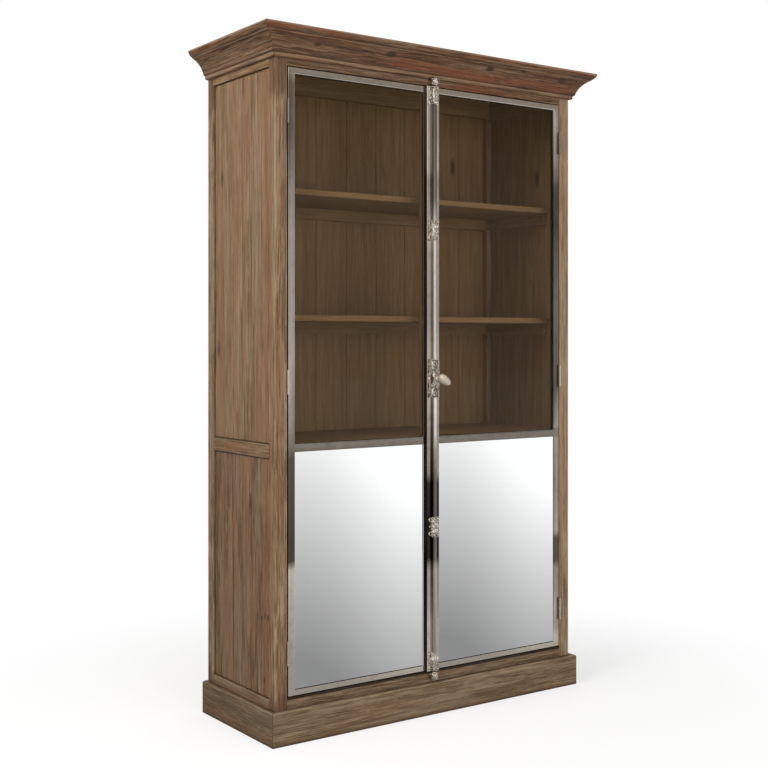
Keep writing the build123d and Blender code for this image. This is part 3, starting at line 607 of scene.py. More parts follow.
@dataclass(frozen=True)
class DarkSteel(Finish):
    """Blackened metal of the beads behind the glass and the inner works, and the dark paint that stands in for shade
    along the frames and on the slim stile beside the glass.
    """

    base: Colour
    worn: Colour

    def sockets(self, shader: Graph, place: Wire) -> dict[str, Value]:
        """Add worn patches.

        Args:
            shader: the material's nodes.
            place: the place on the piece.

        Returns:
            What the surface's sockets hold.
        """
        patch = shader.noise(place, 45.0, 4.0, 0.65)
        return {
            "Base Color": shader.mix(shader.step(patch, 0.5, 0.75), self.base, self.worn),
            "Metallic": 0.15,
            "Roughness": shader.step(patch, 0.3, 0.7, 0.55, 0.75),
            "Specular IOR Level": 0.25,
            "Normal": shader.bump(patch, 0.0004, 0.3),
        }


@dataclass(frozen=True)
class ClearGlass(Finish):
    """Faintly smoked window glass."""

    tint: Colour
    density: float

    def sockets(self, shader: Graph, place: Wire) -> dict[str, Value]:
        """Add a trace of dust and slow waves.

        Args:
            shader: the material's nodes.
            place: the place on the piece.

        Returns:
            What the surface's sockets hold.
        """
        dust = shader.noise(place, 60.0, 4.0, 0.7)
        return {
            "Base Color": self.tint,
            "Roughness": shader.step(dust, 0.4, 0.8, 0.02, 0.09),
            "IOR": 1.52,
            "Alpha": shader.step(dust, 0.4, 0.8, self.density - 0.01, self.density + 0.02),
            "Normal": shader.bump(shader.noise(place, 5.0, 1.0), 0.001, 0.1),
        }


@dataclass(frozen=True)
class Mirror(Finish):
    """Silvered glass with a trace of dust."""

    silver: Colour
    dust: Colour

    def sockets(self, shader: Graph, place: Wire) -> dict[str, Value]:
        """Add the dust.

        Args:
            shader: the material's nodes.
            place: the place on the piece.

        Returns:
            What the surface's sockets hold.
        """
        film = shader.noise(place, 70.0, 4.0, 0.7)
        return {
            "Base Color": shader.mix(shader.step(film, 0.55, 0.8, 0.0, 0.25), self.silver, self.dust),
            "Metallic": 1.0,
            "Roughness": shader.step(film, 0.4, 0.8, 0.015, 0.06),
        }


OUTSIDE = Pine(
    "pine_case", (0.112, 0.064, 0.030), (0.190, 0.118, 0.061), (0.270, 0.184, 0.108), (0.215, 0.090, 0.042), 0.42,
    grey=(0.212, 0.160, 0.106), chalk=(0.345, 0.258, 0.165), chalk_share=0.26, line_share=0.42,
    streaks=((-0.118, 0.016), (0.085, 0.008)),
)
LOWER = replace(
    OUTSIDE, label="pine_lower", brown=(0.088, 0.052, 0.024), middle=(0.160, 0.098, 0.050),
    pale=(0.236, 0.160, 0.094), grey=(0.178, 0.136, 0.088), line_share=0.66, softness=0.080, joint=0.50,
    marks=((0.386, -0.094, 0.0060), (0.396, -0.114, 0.0070), (0.393, -0.133, 0.0072), (0.190, -0.110, 0.0060)),
)
POST = replace(
    OUTSIDE, label="pine_post", middle=(0.202, 0.131, 0.072), pale=(0.296, 0.208, 0.127), red_share=0.5,
    line_share=0.85, softness=0.068, streaks=((-0.165, 0.008),), stained_above=2.03, stained_below=0.17,
)
RIGHT_POST = replace(
    POST, label="pine_right_post", middle=(0.272, 0.186, 0.110), pale=(0.350, 0.254, 0.160),
    stained_above=NOWHERE, stained_below=-NOWHERE, red_share=0.25, line_share=0.5, softness=0.13,
)
RAIL = replace(OUTSIDE, label="pine_rail", middle=(0.164, 0.097, 0.049), pale=(0.242, 0.160, 0.094), streaks=())
CROWN = Pine(
    "pine_crown", (0.058, 0.025, 0.011), (0.126, 0.063, 0.030), (0.205, 0.122, 0.068), (0.170, 0.054, 0.024),
    0.85, 0.5, 0.3, grey_share=0.12, chalk=(0.30, 0.20, 0.122), chalk_share=0.34, line_share=0.9, softness=0.080,
    marks=(
        (-0.207, 2.228, 0.0120), (-0.493, 2.223, 0.0080), (0.559, 2.229, 0.0120), (0.215, 2.231, 0.0110),
        (0.364, 2.238, 0.0060),
    ),
)
CROWN_SIDE = replace(
    CROWN, label="pine_crown_side", middle=(0.142, 0.083, 0.042), red_share=0.3, knot_share=0.2, marks=()
)
FRIEZE = replace(
    CROWN, label="pine_frieze", middle=(0.146, 0.080, 0.040), pale=(0.216, 0.138, 0.079), knot_share=0.2, marks=()
)
PLINTH = Pine(
    "pine_plinth", (0.094, 0.062, 0.031), (0.170, 0.116, 0.063), (0.252, 0.183, 0.113), (0.170, 0.088, 0.044),
    0.35, 0.25, grey=(0.190, 0.146, 0.098), line_share=0.6, softness=0.09, streaks=((0.006, 0.012),),
)
PLINTH_SIDE = replace(
    PLINTH, label="pine_plinth_side", middle=(0.114, 0.074, 0.039), pale=(0.176, 0.123, 0.074),
    red=(0.140, 0.066, 0.030), streaks=((0.020, 0.017),),
)
# The sill's top edge carries a painted shadow under the doors.
SILL = replace(
    PLINTH, label="pine_sill", brown=(0.070, 0.042, 0.020), middle=(0.128, 0.080, 0.041), red_share=0.5,
    painted_shadow_from=0.1360, streaks=(),
)
INSIDE = Pine(
    "pine_inside", (0.198, 0.112, 0.043), (0.255, 0.149, 0.061), (0.299, 0.185, 0.082), (0.238, 0.119, 0.046),
    0.4, 0.12, 0.16, grey_share=0.05, chalk=(0.31, 0.21, 0.11), chalk_share=0.12, line_share=0.25,
    ring_pitch=0.022, joint=0.36,
)
BACKING = Pine(
    "backing_board", (0.180, 0.120, 0.070), (0.230, 0.160, 0.100), (0.280, 0.205, 0.135), (0.230, 0.140, 0.080),
    0.2, 0.0,
)
# The clouds below are painted reflections: bands by height in which bars, strip, rods and hinges are darkened,
# standing in for what they reflect.
FRAME_NICKEL = Nickel(
    "nickel_bars", (0.78, 0.71, 0.62), (0.096, 0.079, 0.062), 0.09, 0.17, haze=0.12,
    painted_reflection_bands=(
        (0.10, 0.0), (0.545, 0.0), (0.575, 0.97), (0.90, 0.97), (0.94, 0.84), (1.22, 0.36), (1.65, 0.42),
        (1.97, 0.80), (2.10, 0.66), (2.135, 0.24),
    ),
)
RIGHT_NICKEL = replace(
    FRAME_NICKEL, label="nickel_right_bars", tarnish_and_painted_reflection=(0.035, 0.029, 0.023),
    painted_reflection_bands=(
        (0.19, 0.0), (0.23, 0.36), (0.30, 0.34), (0.37, 0.54), (0.44, 0.58), (0.47, 0.90), (0.545, 0.90),
        (0.575, 0.54), (0.74, 0.72), (0.915, 0.66), (0.922, 0.80), (0.952, 0.80), (0.96, 0.60), (1.10, 0.84),
        (1.40, 0.74), (1.62, 0.84), (1.70, 0.92), (1.84, 0.88), (1.92, 0.50), (2.07, 0.22),
    ),
)
# The strip's sides are painted black and umber as shade.
STRIP_NICKEL = replace(
    FRAME_NICKEL, label="nickel_strip", tarnish_and_painted_reflection=(0.035, 0.029, 0.023), painted_shade_sides=True,
    painted_reflection_bands=(
        (0.31, 0.02), (0.37, 0.28), (0.495, 0.46), (0.535, 1.0), (0.795, 1.0), (0.825, 0.68), (0.97, 0.66),
        (1.10, 0.48), (1.26, 0.28), (1.34, 0.42), (1.58, 0.36), (1.63, 0.24), (1.72, 0.35), (1.835, 0.37),
        (1.87, 0.06), (2.10, 0.0),
    ),
)
ROD_NICKEL = Nickel(
    "nickel_rods", (0.90, 0.84, 0.755), (0.110, 0.090, 0.072), 0.14, 0.20,
    painted_reflection_bands=(
        (0.10, 0.20), (0.50, 0.26), (0.53, 0.80), (0.66, 0.92), (0.80, 0.94), (0.90, 0.70), (0.94, 0.36),
        (1.02, 0.10), (1.15, 0.0), (1.67, 0.0), (1.70, 0.40), (1.76, 0.80), (2.08, 0.93),
    ),
)
EDGE_NICKEL = Nickel("nickel_edge", (0.92, 0.92, 0.91), (0.60, 0.60, 0.58), 0.02, 0.05)
HINGE_NICKEL = Nickel(
    "nickel_hinges", (0.46, 0.405, 0.34), (0.150, 0.120, 0.092), 0.12, 0.22, haze=0.45,
    painted_reflection_bands=((1.20, 0.0), (1.70, 0.10), (1.94, 0.42)),
)
CAST_NICKEL = Nickel("nickel_castings", (0.84, 0.77, 0.67), (0.115, 0.092, 0.068), 0.09, 0.18, 0.007)
KNOB_NICKEL = replace(CAST_NICKEL, label="nickel_knob", base=(0.72, 0.64, 0.53), smooth=0.24, dull=0.36, haze=0.34)
STEEL = DarkSteel("dark_steel", (0.016, 0.011, 0.006), (0.030, 0.022, 0.014))
# UMBER paints the slim stile beside the glass as shade.
UMBER = DarkSteel("stile_umber", (0.058, 0.034, 0.013), (0.076, 0.045, 0.019))
BRONZE = DarkSteel("bead_bronze", (0.150, 0.098, 0.052), (0.190, 0.128, 0.072))
GLASS = ClearGlass("clear_glass", (0.030, 0.024, 0.013), 0.15)
MIRROR = Mirror("mirror_glass", (0.93, 0.935, 0.935), (0.80, 0.81, 0.81))


def link(thing: bpy.types.Object) -> bpy.types.Object:
    """Put an object in the scene."""
    bpy.context.scene.collection.objects.link(thing)
    return thing


def paint(piece: bpy.types.Object, material: bpy.types.Material) -> None:
    """Give a piece one material all over.

    Args:
        piece: the piece.
        material: the material.
    """
    slots = piece.data.materials
    slots.clear()
    slots.append(material)
    LOG.info("%s: %s, %d faces", piece.name, material.name, len(piece.data.polygons))


def smooth(shape: bmesh.types.BMesh, name: str, crease: float) -> bpy.types.Mesh:
    """Turn gathered faces into a smooth mesh, and let them go.

    Args:
        shape: the faces.
        name: the mesh's name.
        crease: the angle in degrees from which an edge stays sharp.

    Returns:
        The mesh.
    """
    mesh = bpy.data.meshes.new(name)
    shape.to_mesh(mesh)
    shape.free()
    mesh.shade_smooth()
    mesh.set_sharp_from_angle(angle=math.radians(crease))
    return mesh


def stand_in(
    name: str, mesh: bpy.types.Mesh, material: bpy.types.Material, body: str, node: str
) -> None:
    """Put a mesh in the scene as a piece at the origin that stands for a node.

    Args:
        name: the piece's name.
        mesh: its mesh.
        material: its finish.
        body: the body that it moves with.
        node: the node that it stands for.
    """
    piece = link(bpy.data.objects.new(name, mesh))
    paint(piece, material)
    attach(piece, body)
    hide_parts(node)


class Form:
    """Gathers the faces of one piece."""

    MERGE = 2e-6
    DEGENERATE = 1e-6
    PLATE_EDGE = 0.45
    PLATE_REACH = 0.02

    def __init__(self) -> None:
        """Start with nothing."""
        self.mesh = bmesh.new()
        self.finished: list[bpy.types.Mesh] = []

    def sheet(
        self, point: Callable[[float, float], Vector], rows: int, columns: int, ring: bool = True
    ) -> list[list[bmesh.types.BMVert]]:
        """Add a sheet of quads.

        Args:
            point: gives the place at two shares from 0 to 1, along the rows and along the columns.
            rows: how many quads one way.
            columns: how many quads the other way.
            ring: whether the last column joins the first.

        Returns:
            The corners, row by row.
        """
        across = columns if ring else columns + 1
        spots = [[point(r / rows, c / columns) for c in range(across)] for r in range(rows + 1)]
        grid = [[self.mesh.verts.new(spot) for spot in row] for row in spots]
        for row, above in zip(grid, grid[1:]):
            for c in range(columns):
                after = (c + 1) % across
                self.mesh.faces.new((row[c], row[after], above[after], above[c]))
        return grid

    def lathe(self, profile: Sequence[Point], place: Matrix, sides: int) -> None:
        """Turn a profile about the local Z axis of a place.

        Args:
            profile: its radii and heights.
            place: where it is turned.
            sides: how many sides the turned shape has.
        """
        last = len(profile) - 1

        def point(row: float, turn: float) -> Vector:
            """Give one point of the turned shape.

            Args:
                row: the share of the profile.
                turn: the share of the turn.

            Returns:
                The point.
            """
            radius, height = profile[round(row * last)]
            angle = turn * FULL_TURN
            return place @ Vector((radius * math.cos(angle), radius * math.sin(angle), height))

        self.sheet(point, last, sides)

    def slab(self, outline: Sequence[Point], middle: Vector, thickness: float) -> None:
        """Add a flat plate that faces -Y, with a softened front edge.

        Args:
            outline: its corners in X and Z about the middle, which can see all of them.
            middle: the point of its back face that the outline is drawn about.
            thickness: of the plate.
        """
        edge = thickness * self.PLATE_EDGE
        front = middle.y - thickness
        inner = 1.0 - edge / self.PLATE_REACH
        loops = ((0.0, middle.y), (1.0, middle.y), (1.0, front + edge), (inner, front + edge * 0.25), (0.0, front))
        last = len(loops) - 1

        def point(row: float, turn: float) -> Vector:
            """Give one point of the plate.

            Args:
                row: the share of the way from the back to the front.
                turn: the share of the outline.

            Returns:
                The point.
            """
            share, y = loops[round(row * last)]
            x, z = outline[round(turn * len(outline)) % len(outline)]
            return Vector((middle.x + x * share, y, middle.z + z * share))

        self.sheet(point, last, len(outline))

    def add(self, other: bpy.types.Mesh) -> None:
        """Add a finished mesh, whose faces stay as they are."""
        self.finished.append(other)

    def to_mesh(self, name: str, crease: float = 42.0) -> bpy.types.Mesh:
        """Close the seams and poles, turn the faces outwards and give a smooth mesh.

        Args:
            name: the mesh's name.
            crease: the angle in degrees from which an edge stays sharp.

        Returns:
            The mesh, with the finished meshes that were added.
        """
        bmesh.ops.remove_doubles(self.mesh, verts=self.mesh.verts, dist=self.MERGE)
        bmesh.ops.dissolve_degenerate(self.mesh, edges=self.mesh.edges, dist=self.DEGENERATE)
        bmesh.ops.recalc_face_normals(self.mesh, faces=self.mesh.faces)
        if self.mesh.calc_volume(signed=True) < 0.0:
            bmesh.ops.reverse_faces(self.mesh, faces=self.mesh.faces)
        for other in self.finished:
            self.mesh.from_mesh(other)
        return smooth(self.mesh, name, crease)


@dataclass(frozen=True)
class Spot:
    """Where one copy of an ornament sits, how it is turned and how large it is."""

    place: Vector
    turn: Matrix = field(default_factory=lambda: Matrix.Identity(3))
    size: float = 1.0


class Copies:
    """A Geometry Nodes tree that sets copies of one ornament on turned and sized points."""

    SEED = 7
    SIZE = 1.0
    UNEVENNESS = 0.0
    SOCKETS = {
        "Points": "NodeSocketGeometry",
        "Ornament": "NodeSocketObject",
        "Size": "NodeSocketFloat",
        "Unevenness": "NodeSocketFloat",
        "Finish": "NodeSocketMaterial",
    }

    def __init__(self) -> None:
        """Build the tree."""
        self.tree = bpy.data.node_groups.new("copies", "GeometryNodeTree")
        face = self.tree.interface
        self.keys = {
            name: face.new_socket(name, in_out="INPUT", socket_type=kind).identifier
            for name, kind in self.SOCKETS.items()
        }
        face.new_socket("Pieces", in_out="OUTPUT", socket_type="NodeSocketGeometry")
        graph = Graph(self.tree)
        given = graph.add("NodeGroupInput")
        turn, size = [
            graph.add("GeometryNodeInputNamedAttribute", {"data_type": "FLOAT_VECTOR"}, {"Name": name})["Attribute"]
            for name in ("turn", "size")
        ]
        values = {"Min": 1.0 - given["Unevenness"], "Max": 1.0 + given["Unevenness"], "Seed": self.SEED}
        grow = graph.add("FunctionNodeRandomValue", {"data_type": "FLOAT"}, values)["Value"] * given["Size"]
        scaled = graph.add("ShaderNodeVectorMath", {"operation": "SCALE"}, {"Vector": size, "Scale": grow})
        settings = {"transform_space": "ORIGINAL"}
        master = graph.add("GeometryNodeObjectInfo", settings, {"Object": given["Ornament"]})
        values = {
            "Points": given["Points"],
            "Instance": master["Geometry"],
            "Rotation": graph.add("FunctionNodeEulerToRotation", None, {"Euler": turn})["Rotation"],
            "Scale": scaled["Vector"],
        }
        copies = graph.add("GeometryNodeInstanceOnPoints", None, values)
        real = graph.add("GeometryNodeRealizeInstances", None, {"Geometry": copies["Instances"]})
        values = {"Geometry": real["Geometry"], "Material": given["Finish"]}
        dressed = graph.add("GeometryNodeSetMaterial", None, values)
        graph.add("NodeGroupOutput", None, {"Pieces": dressed["Geometry"]})

    def spread(
        self, ornament: bpy.types.Mesh, spots: Sequence[Spot], material: bpy.types.Material
    ) -> bpy.types.Mesh:
        """Set copies of an ornament.

        Args:
            ornament: the mesh to copy.
            spots: where the copies go.
            material: the finish of all of them.

        Returns:
            One plain mesh with all the copies.
        """
        points = bpy.data.meshes.new("points")
        points.from_pydata([tuple(spot.place) for spot in spots], [], [])
        turns = points.attributes.new("turn", "FLOAT_VECTOR", "POINT")
        sizes = points.attributes.new("size", "FLOAT_VECTOR", "POINT")
        for number, spot in enumerate(spots):
            turns.data[number].vector = tuple(spot.turn.to_euler())
            sizes.data[number].vector = (spot.size,) * 3
        carrier = link(bpy.data.objects.new("carrier", points))
        master = link(bpy.data.objects.new("master", ornament))
        modifier = carrier.modifiers.new("copies", "NODES")
        modifier.node_group = self.tree
        given = {"Ornament": master, "Size": self.SIZE, "Unevenness": self.UNEVENNESS, "Finish": material}
        for name, value in given.items():
            modifier[self.keys[name]] = value
        graph = bpy.context.evaluated_depsgraph_get()
        result = bpy.data.meshes.new_from_object(carrier.evaluated_get(graph))
        carrier.modifiers.remove(modifier)
        bpy.data.objects.remove(carrier)
        bpy.data.objects.remove(master)
        return result


def leaf(length: float, width: float, height: float, lobes: int = 3, curl: float = 0.0) -> bpy.types.Mesh:
    """Make a carved leaf that grows along +Z and is raised towards -Y.

    Args:
        length: from its foot to its tip.
        width: at its widest.
        height: of its back above the ground.
        lobes: how many lobes each edge has.
        curl: how far the tip stands off.

    Returns:
        A closed mesh.
    """
    form = Form()
    waves = math.pi * (lobes + 0.5)

    def outline(s: float) -> float:
        """Give the half width at a share of the length."""
        swell = math.sin(math.pi * min(1.0, max(0.0, s)) ** 0.72) ** 0.8
        return width / 2 * swell * (0.76 + 0.24 * abs(math.sin(waves * s)))

    def front(s: float, t: float) -> Vector:
        """Give a point of the carved face.

        Args:
            s: the share of the length.
            t: the share of the width.

        Returns:
            The point.
        """
        side = 2.0 * t - 1.0
        back = max(0.0, 1.0 - side * side) ** 0.6 * (0.35 + 0.65 * math.sin(math.pi * s) ** 0.6)
        rib = 1.0 - 0.38 * math.exp(-((side / 0.14) ** 2))
        vein = 1.0 + 0.20 * math.cos(2.0 * waves * s - 2.6 * abs(side))
        lift = height * back * rib * vein + curl * s ** 3
        return Vector((outline(s) * side, -lift, length * s))

    def ground(s: float, t: float) -> Vector:
        """Give a point of the flat back."""
        return Vector((outline(s) * (1.0 - 2.0 * t), -curl * s ** 3, length * s))

    for face in (front, ground):
        form.sheet(face, 24, 12, ring=False)
    return form.to_mesh("leaf", crease=70.0)


def bead(radius: float) -> bpy.types.Mesh:
    """Make a small round bead.

    Args:
        radius: of the bead.

    Returns:
        A closed mesh.
    """
    form = Form()
    arc = [math.pi * n / 10 - math.pi / 2 for n in range(11)]
    form.lathe([(radius * math.cos(a), radius * math.sin(a)) for a in arc], Matrix.Identity(4), 16)
    return form.to_mesh("bead")


def screw_head(radius: float, rise: float) -> bpy.types.Mesh:
    """Make a domed screw head with a straight slot, facing -Y.

    Args:
        radius: of the head.
        rise: of its dome.

    Returns:
        A closed mesh.
    """
    form = Form()
    underside = 0.0004

    def dome(s: float, t: float) -> Vector:
        """Give one point of the dome, pressed down along the slot.

        Args:
            s: the share of the way out.
            t: the share of the turn.

        Returns:
            The point.
        """
        angle = FULL_TURN * t
        x, z = radius * s * math.cos(angle), radius * s * math.sin(angle)
        slot = 0.55 if abs(x) < radius * 0.16 else 0.0
        return Vector((x, -rise * (1.0 - 0.75 * s ** 3 - slot), z))

    def skirt(s: float, t: float) -> Vector:
        """Give one point of the rim or, at the end, of the flat underside.

        Args:
            s: the share of the way from the rim to the middle of the underside.
            t: the share of the turn.

        Returns:
            The point.
        """
        rim = dome(1.0, t)
        if s > 0.0:
            rim.y = underside
        return Vector((0.0, rim.y, 0.0)) if s == 1.0 else rim

    form.sheet(dome, 8, 28)
    form.sheet(skirt, 2, 28)
    return form.to_mesh("screw", crease=30.0)


def volute(radius: float, thickness: float, turns: float, hand: int) -> bpy.types.Mesh:
    """Make a rolled scroll in the X-Z plane, its thin end inside.

    Args:
        radius: of its outer turn.
        thickness: of the band at its outer end.
        turns: how often it goes round.
        hand: +1 or -1, the way it rolls.

    Returns:
        A closed mesh.
    """
    form = Form()

    def point(s: float, t: float) -> Vector:
        """Give one point of the tapering tube.

        Args:
            s: the share of the scroll's length.
            t: the share of the way round the tube.

        Returns:
            The point.
        """
        angle, around = FULL_TURN * turns * s, FULL_TURN * t
        reach = radius * (1.0 - 0.86 * s)
        thick = thickness * (1.0 - 0.45 * s) * min(1.0, 0.05 + 12.0 * s, 0.05 + 12.0 * (1.0 - s))
        out = reach + thick * math.cos(around)
        return Vector((hand * out * math.cos(angle), -thick * 1.3 * math.sin(around), out * math.sin(angle)))

    grid = form.sheet(point, 48, 10)
    for end in (grid[0], grid[-1]):
        form.mesh.faces.new(end)
    return form.to_mesh("volute")


def scallop(half_width: float, half_height: float, lobes: Sequence[Triple]) -> list[Point]:
    """Draw the outline round a rectangle and some discs that overlap it.

    Args:
        half_width: of the rectangle.
        half_height: of the rectangle.
        lobes: the discs, as X, Z and radius.

    Returns:
        The corners of the outline about its middle.
    """
    steps = 120
    corners = []
    for step in range(steps):
        angle = FULL_TURN * step / steps
        dx, dz = math.cos(angle), math.sin(angle)
        reach = min(half_width / max(abs(dx), 1e-6), half_height / max(abs(dz), 1e-6))
        for x, z, radius in lobes:
            along = x * dx + z * dz
            inside = radius ** 2 - (x * x + z * z - along * along)
            if inside > 0.0:
                reach = max(reach, along + math.sqrt(inside))
        corners.append((reach * dx, reach * dz))
    return corners


def turned(about_z: float = 0.0, in_face: float = 0.0) -> Matrix:
    """Turn an ornament: roll it in its face, then swing it round the upright."""
    return Matrix.Rotation(about_z, 3, "Z") @ Matrix.Rotation(in_face, 3, "Y")


class GuideStyle(Enum):
    """The two castings that hold the rods: half height, reach of the plate's lobes and reach of the screws."""

    PALMETTE = (0.031, 0.0135, 0.0165)
    BEADED = (0.035, 0.0150, 0.0178)


@dataclass
class Bolt:
    """The long bolt on the meeting strip: cast guides, lock case, knob and ball keepers."""

    copies: Copies
    metal: bpy.types.Material
    knob_metal: bpy.types.Material
    rod_x: float = -0.012
    rod_y: float = -0.211
    strip_face: float = -0.203
    guide_heights: tuple[tuple[float, GuideStyle], ...] = (
        (2.1155, GuideStyle.PALMETTE),
        (1.6545, GuideStyle.BEADED),
        (0.6415, GuideStyle.BEADED),
        (0.1805, GuideStyle.PALMETTE),
    )
    guide_half: float = 0.0145
    guide_depth: float = 0.0172
    guide_plate: float = 0.003
    guide_screw_rise: float = 0.0240
    case_middle: float = 1.148
    case_height: float = 0.135
    case_half: float = 0.0172
    case_depth: float = 0.0255
    case_plate: float = 0.0035
    case_screw_rise: float = 0.0470
    case_screw_reach: float = 0.0185
    screw: Point = (0.0026, 0.0012)
    bead_pitch: float = 0.0034
    ring_beads: int = 20
    petals: int = 8
    petal_size: float = 0.62
    boss: float = 0.0140
    knob_place: Vector = field(default_factory=lambda: Vector((0.0020, -0.248, 1.1440)))
    knob_drop: float = math.radians(33.0)
    knob_length: float = 0.056
    knob_width: float = 0.0305
    neck: float = 0.0075
    ball: float = 0.0125
    bore: float = 0.0055
    bore_end: float = 0.0025
    keeper_heights: tuple[tuple[float, int], ...] = ((2.164, 1), (0.132, -1))

    def build(self) -> None:
        """Make the castings in place of their plain nodes."""
        self._finish("guide_castings", self._guides(), "right_door", "rod_guides")
        self._finish("lock_casting", self._case(), "right_door", "bolt_case")
        self._finish("bolt_screw_heads", self._screws(), "right_door", "bolt_screws")
        self._finish("knob_casting", self._knob(), "knob", "knob", self.knob_metal)
        for (height, way), node in zip(self.keeper_heights, ("keeper_top", "keeper_bottom")):
            self._finish(f"{node}_casting", self._keeper(height, way), "carcass", node)

    def _finish(
        self, name: str, form: Form, body: str, node: str, metal: bpy.types.Material | None = None
    ) -> None:
        """Turn a form into the piece that stands for a node."""
        stand_in(name, form.to_mesh(name), metal or self.metal, body, node)

    def _set(self, form: Form, ornament: bpy.types.Mesh, spots: Sequence[Spot]) -> None:
        """Add copies of an ornament to a form."""
        form.add(self.copies.spread(ornament, spots, self.metal))

    def _forward(self, y: float, height: float) -> Matrix:
        """Give the place of a lathe that faces -Y on the rods' line."""
        return Matrix.Translation((self.rod_x, y, height)) @ Matrix.Rotation(math.pi / 2, 4, "X")

    def _front(self, x: float, z: float, depth: float) -> Vector:
        """Give a point in front of the strip, measured from the rods' line."""
        return Vector((self.rod_x + x, self.strip_face - depth, z))

    def _block(self, width: float, depth: float, power: float, t: float, z: float) -> Vector:
        """Give a point of a rounded block on the strip.

        Args:
            width: half the block's width at that height.
            depth: the block's depth at that height.
            power: how square the block is.
            t: the share of the way round it.
            z: the height.

        Returns:
            The point.
        """
        angle = math.pi * (2.0 * t - 1.0)
        x = width * math.copysign(abs(math.sin(angle)) ** power, math.sin(angle))
        return self._front(x, z, depth * max(0.0, math.cos(angle)) ** power)

    def _guides(self) -> Form:
        """Make the guides: on each a scalloped plate, the block over the rod and its carving.

        Returns:
            The form.
        """
        form = Form()
        for height, style in self.guide_heights:
            half, reach, _ = style.value
            palmette = style is GuideStyle.PALMETTE
            lobes = [(sx * reach, sz * self.guide_screw_rise, 0.0065) for sx in BOTH for sz in BOTH]
            lobes += [(sx * 0.0150, 0.0, 0.0050) for sx in BOTH]
            outline = scallop(0.0140, half - 0.003, lobes)
            form.slab(outline, self._front(0.0, height, 0.0), self.guide_plate)

            def body(s: float, t: float) -> Vector:
                """Give one point of the block.

                Args:
                    s: the share of the height.
                    t: the share of the way round.

                Returns:
                    The point.
                """
                share = 2.0 * s - 1.0
                if palmette:
                    swell = 0.84 + 0.26 * math.exp(-(((share - 0.12) / 0.36) ** 2))
                else:
                    swell = 0.97 + 0.05 * math.cos(4.0 * math.pi * share)
                close = max(0.0, 1.0 - abs(share) ** 16) ** 0.5
                depth = self.guide_depth * (0.55 + 0.45 * swell) * close
                return self._block(self.guide_half * swell * close, depth, 0.5, t, height + share * half)

            form.sheet(body, 40, 48)
            carve = self._palmette_carving if palmette else self._beaded_carving
            carve(form, height)
        return form

    def _flower(self, z: float, depth: float) -> list[Spot]:
        """Give the petals of a small flower on the front of a casting."""
        turns = [FULL_TURN * n / self.petals for n in range(self.petals)]
        return [Spot(self._front(0.0, z, depth), turned(0.0, turn), self.petal_size) for turn in turns]

    def _bead_rows(self, height: float, half: float, depth: float, ends: Sequence[int] = BOTH) -> list[Spot]:
        """Give rows of small beads round the ends of a block.

        Args:
            height: of the block's middle.
            half: the block's half height.
            depth: the block's depth.
            ends: +1 for the row round its upper end, -1 for the row round its lower end.

        Returns:
            Where the beads go.
        """
        spots = []
        for step in range(-4, 5):
            x = self.bead_pitch * step
            near = depth * max(0.0, 1.0 - (abs(x) / (self.guide_half + 0.0012)) ** 4) ** 0.25 - 0.0010
            spots += [Spot(self._front(x, height + end * half, near)) for end in ends]
        return spots

    def _palmette_carving(self, form: Form, height: float) -> None:
        """Add a fan of leaves between rows of beads, and small leaves round the sides.

        Args:
            form: takes the carving.
            height: of the guide's middle.
        """
        depth = self.guide_depth
        fan = []
        for tip in (-1.25, -0.83, -0.42, 0.0, 0.42, 0.83, 1.25):
            place = self._front(0.003 * math.sin(tip), height - 0.006, depth - 0.0010)
            fan.append(Spot(place, turned(tip * 0.42, tip), 1.0 - 0.14 * abs(tip)))
        for tip in (-0.85, -0.3, 0.3, 0.85):
            place = self._front(0.004 * math.sin(tip), height - 0.005, depth - 0.0015)
            fan.append(Spot(place, turned(tip * 0.42, math.pi - tip), 0.78 - 0.10 * abs(tip)))
        self._set(form, leaf(0.0250, 0.0072, 0.0042, 4, -0.0012), fan)
        sides = [
            Spot(self._front(side * 0.0105, height + rise, 0.0085), turned(side * 1.05, side * roll), 0.72)
            for side in BOTH
            for rise, roll in ((0.018, 0.4), (0.009, 0.7), (0.000, 1.0), (-0.009, 2.1), (-0.018, 2.5))
        ]
        self._set(form, leaf(0.0165, 0.0078, 0.0038), sides)
        beads = [
            Spot(self._front(sx * x, height + rise, depth - 0.0030))
            for x, rise in ((0.0068, 0.0245), (0.0078, -0.0235)) for sx in BOTH
        ]
        beads.append(Spot(self._front(0.0, height - 0.006, depth + 0.0004), size=0.9))
        self._set(form, bead(0.0040), beads)
        self._set(form, bead(0.0017), self._bead_rows(height, 0.0290, depth * 0.92))

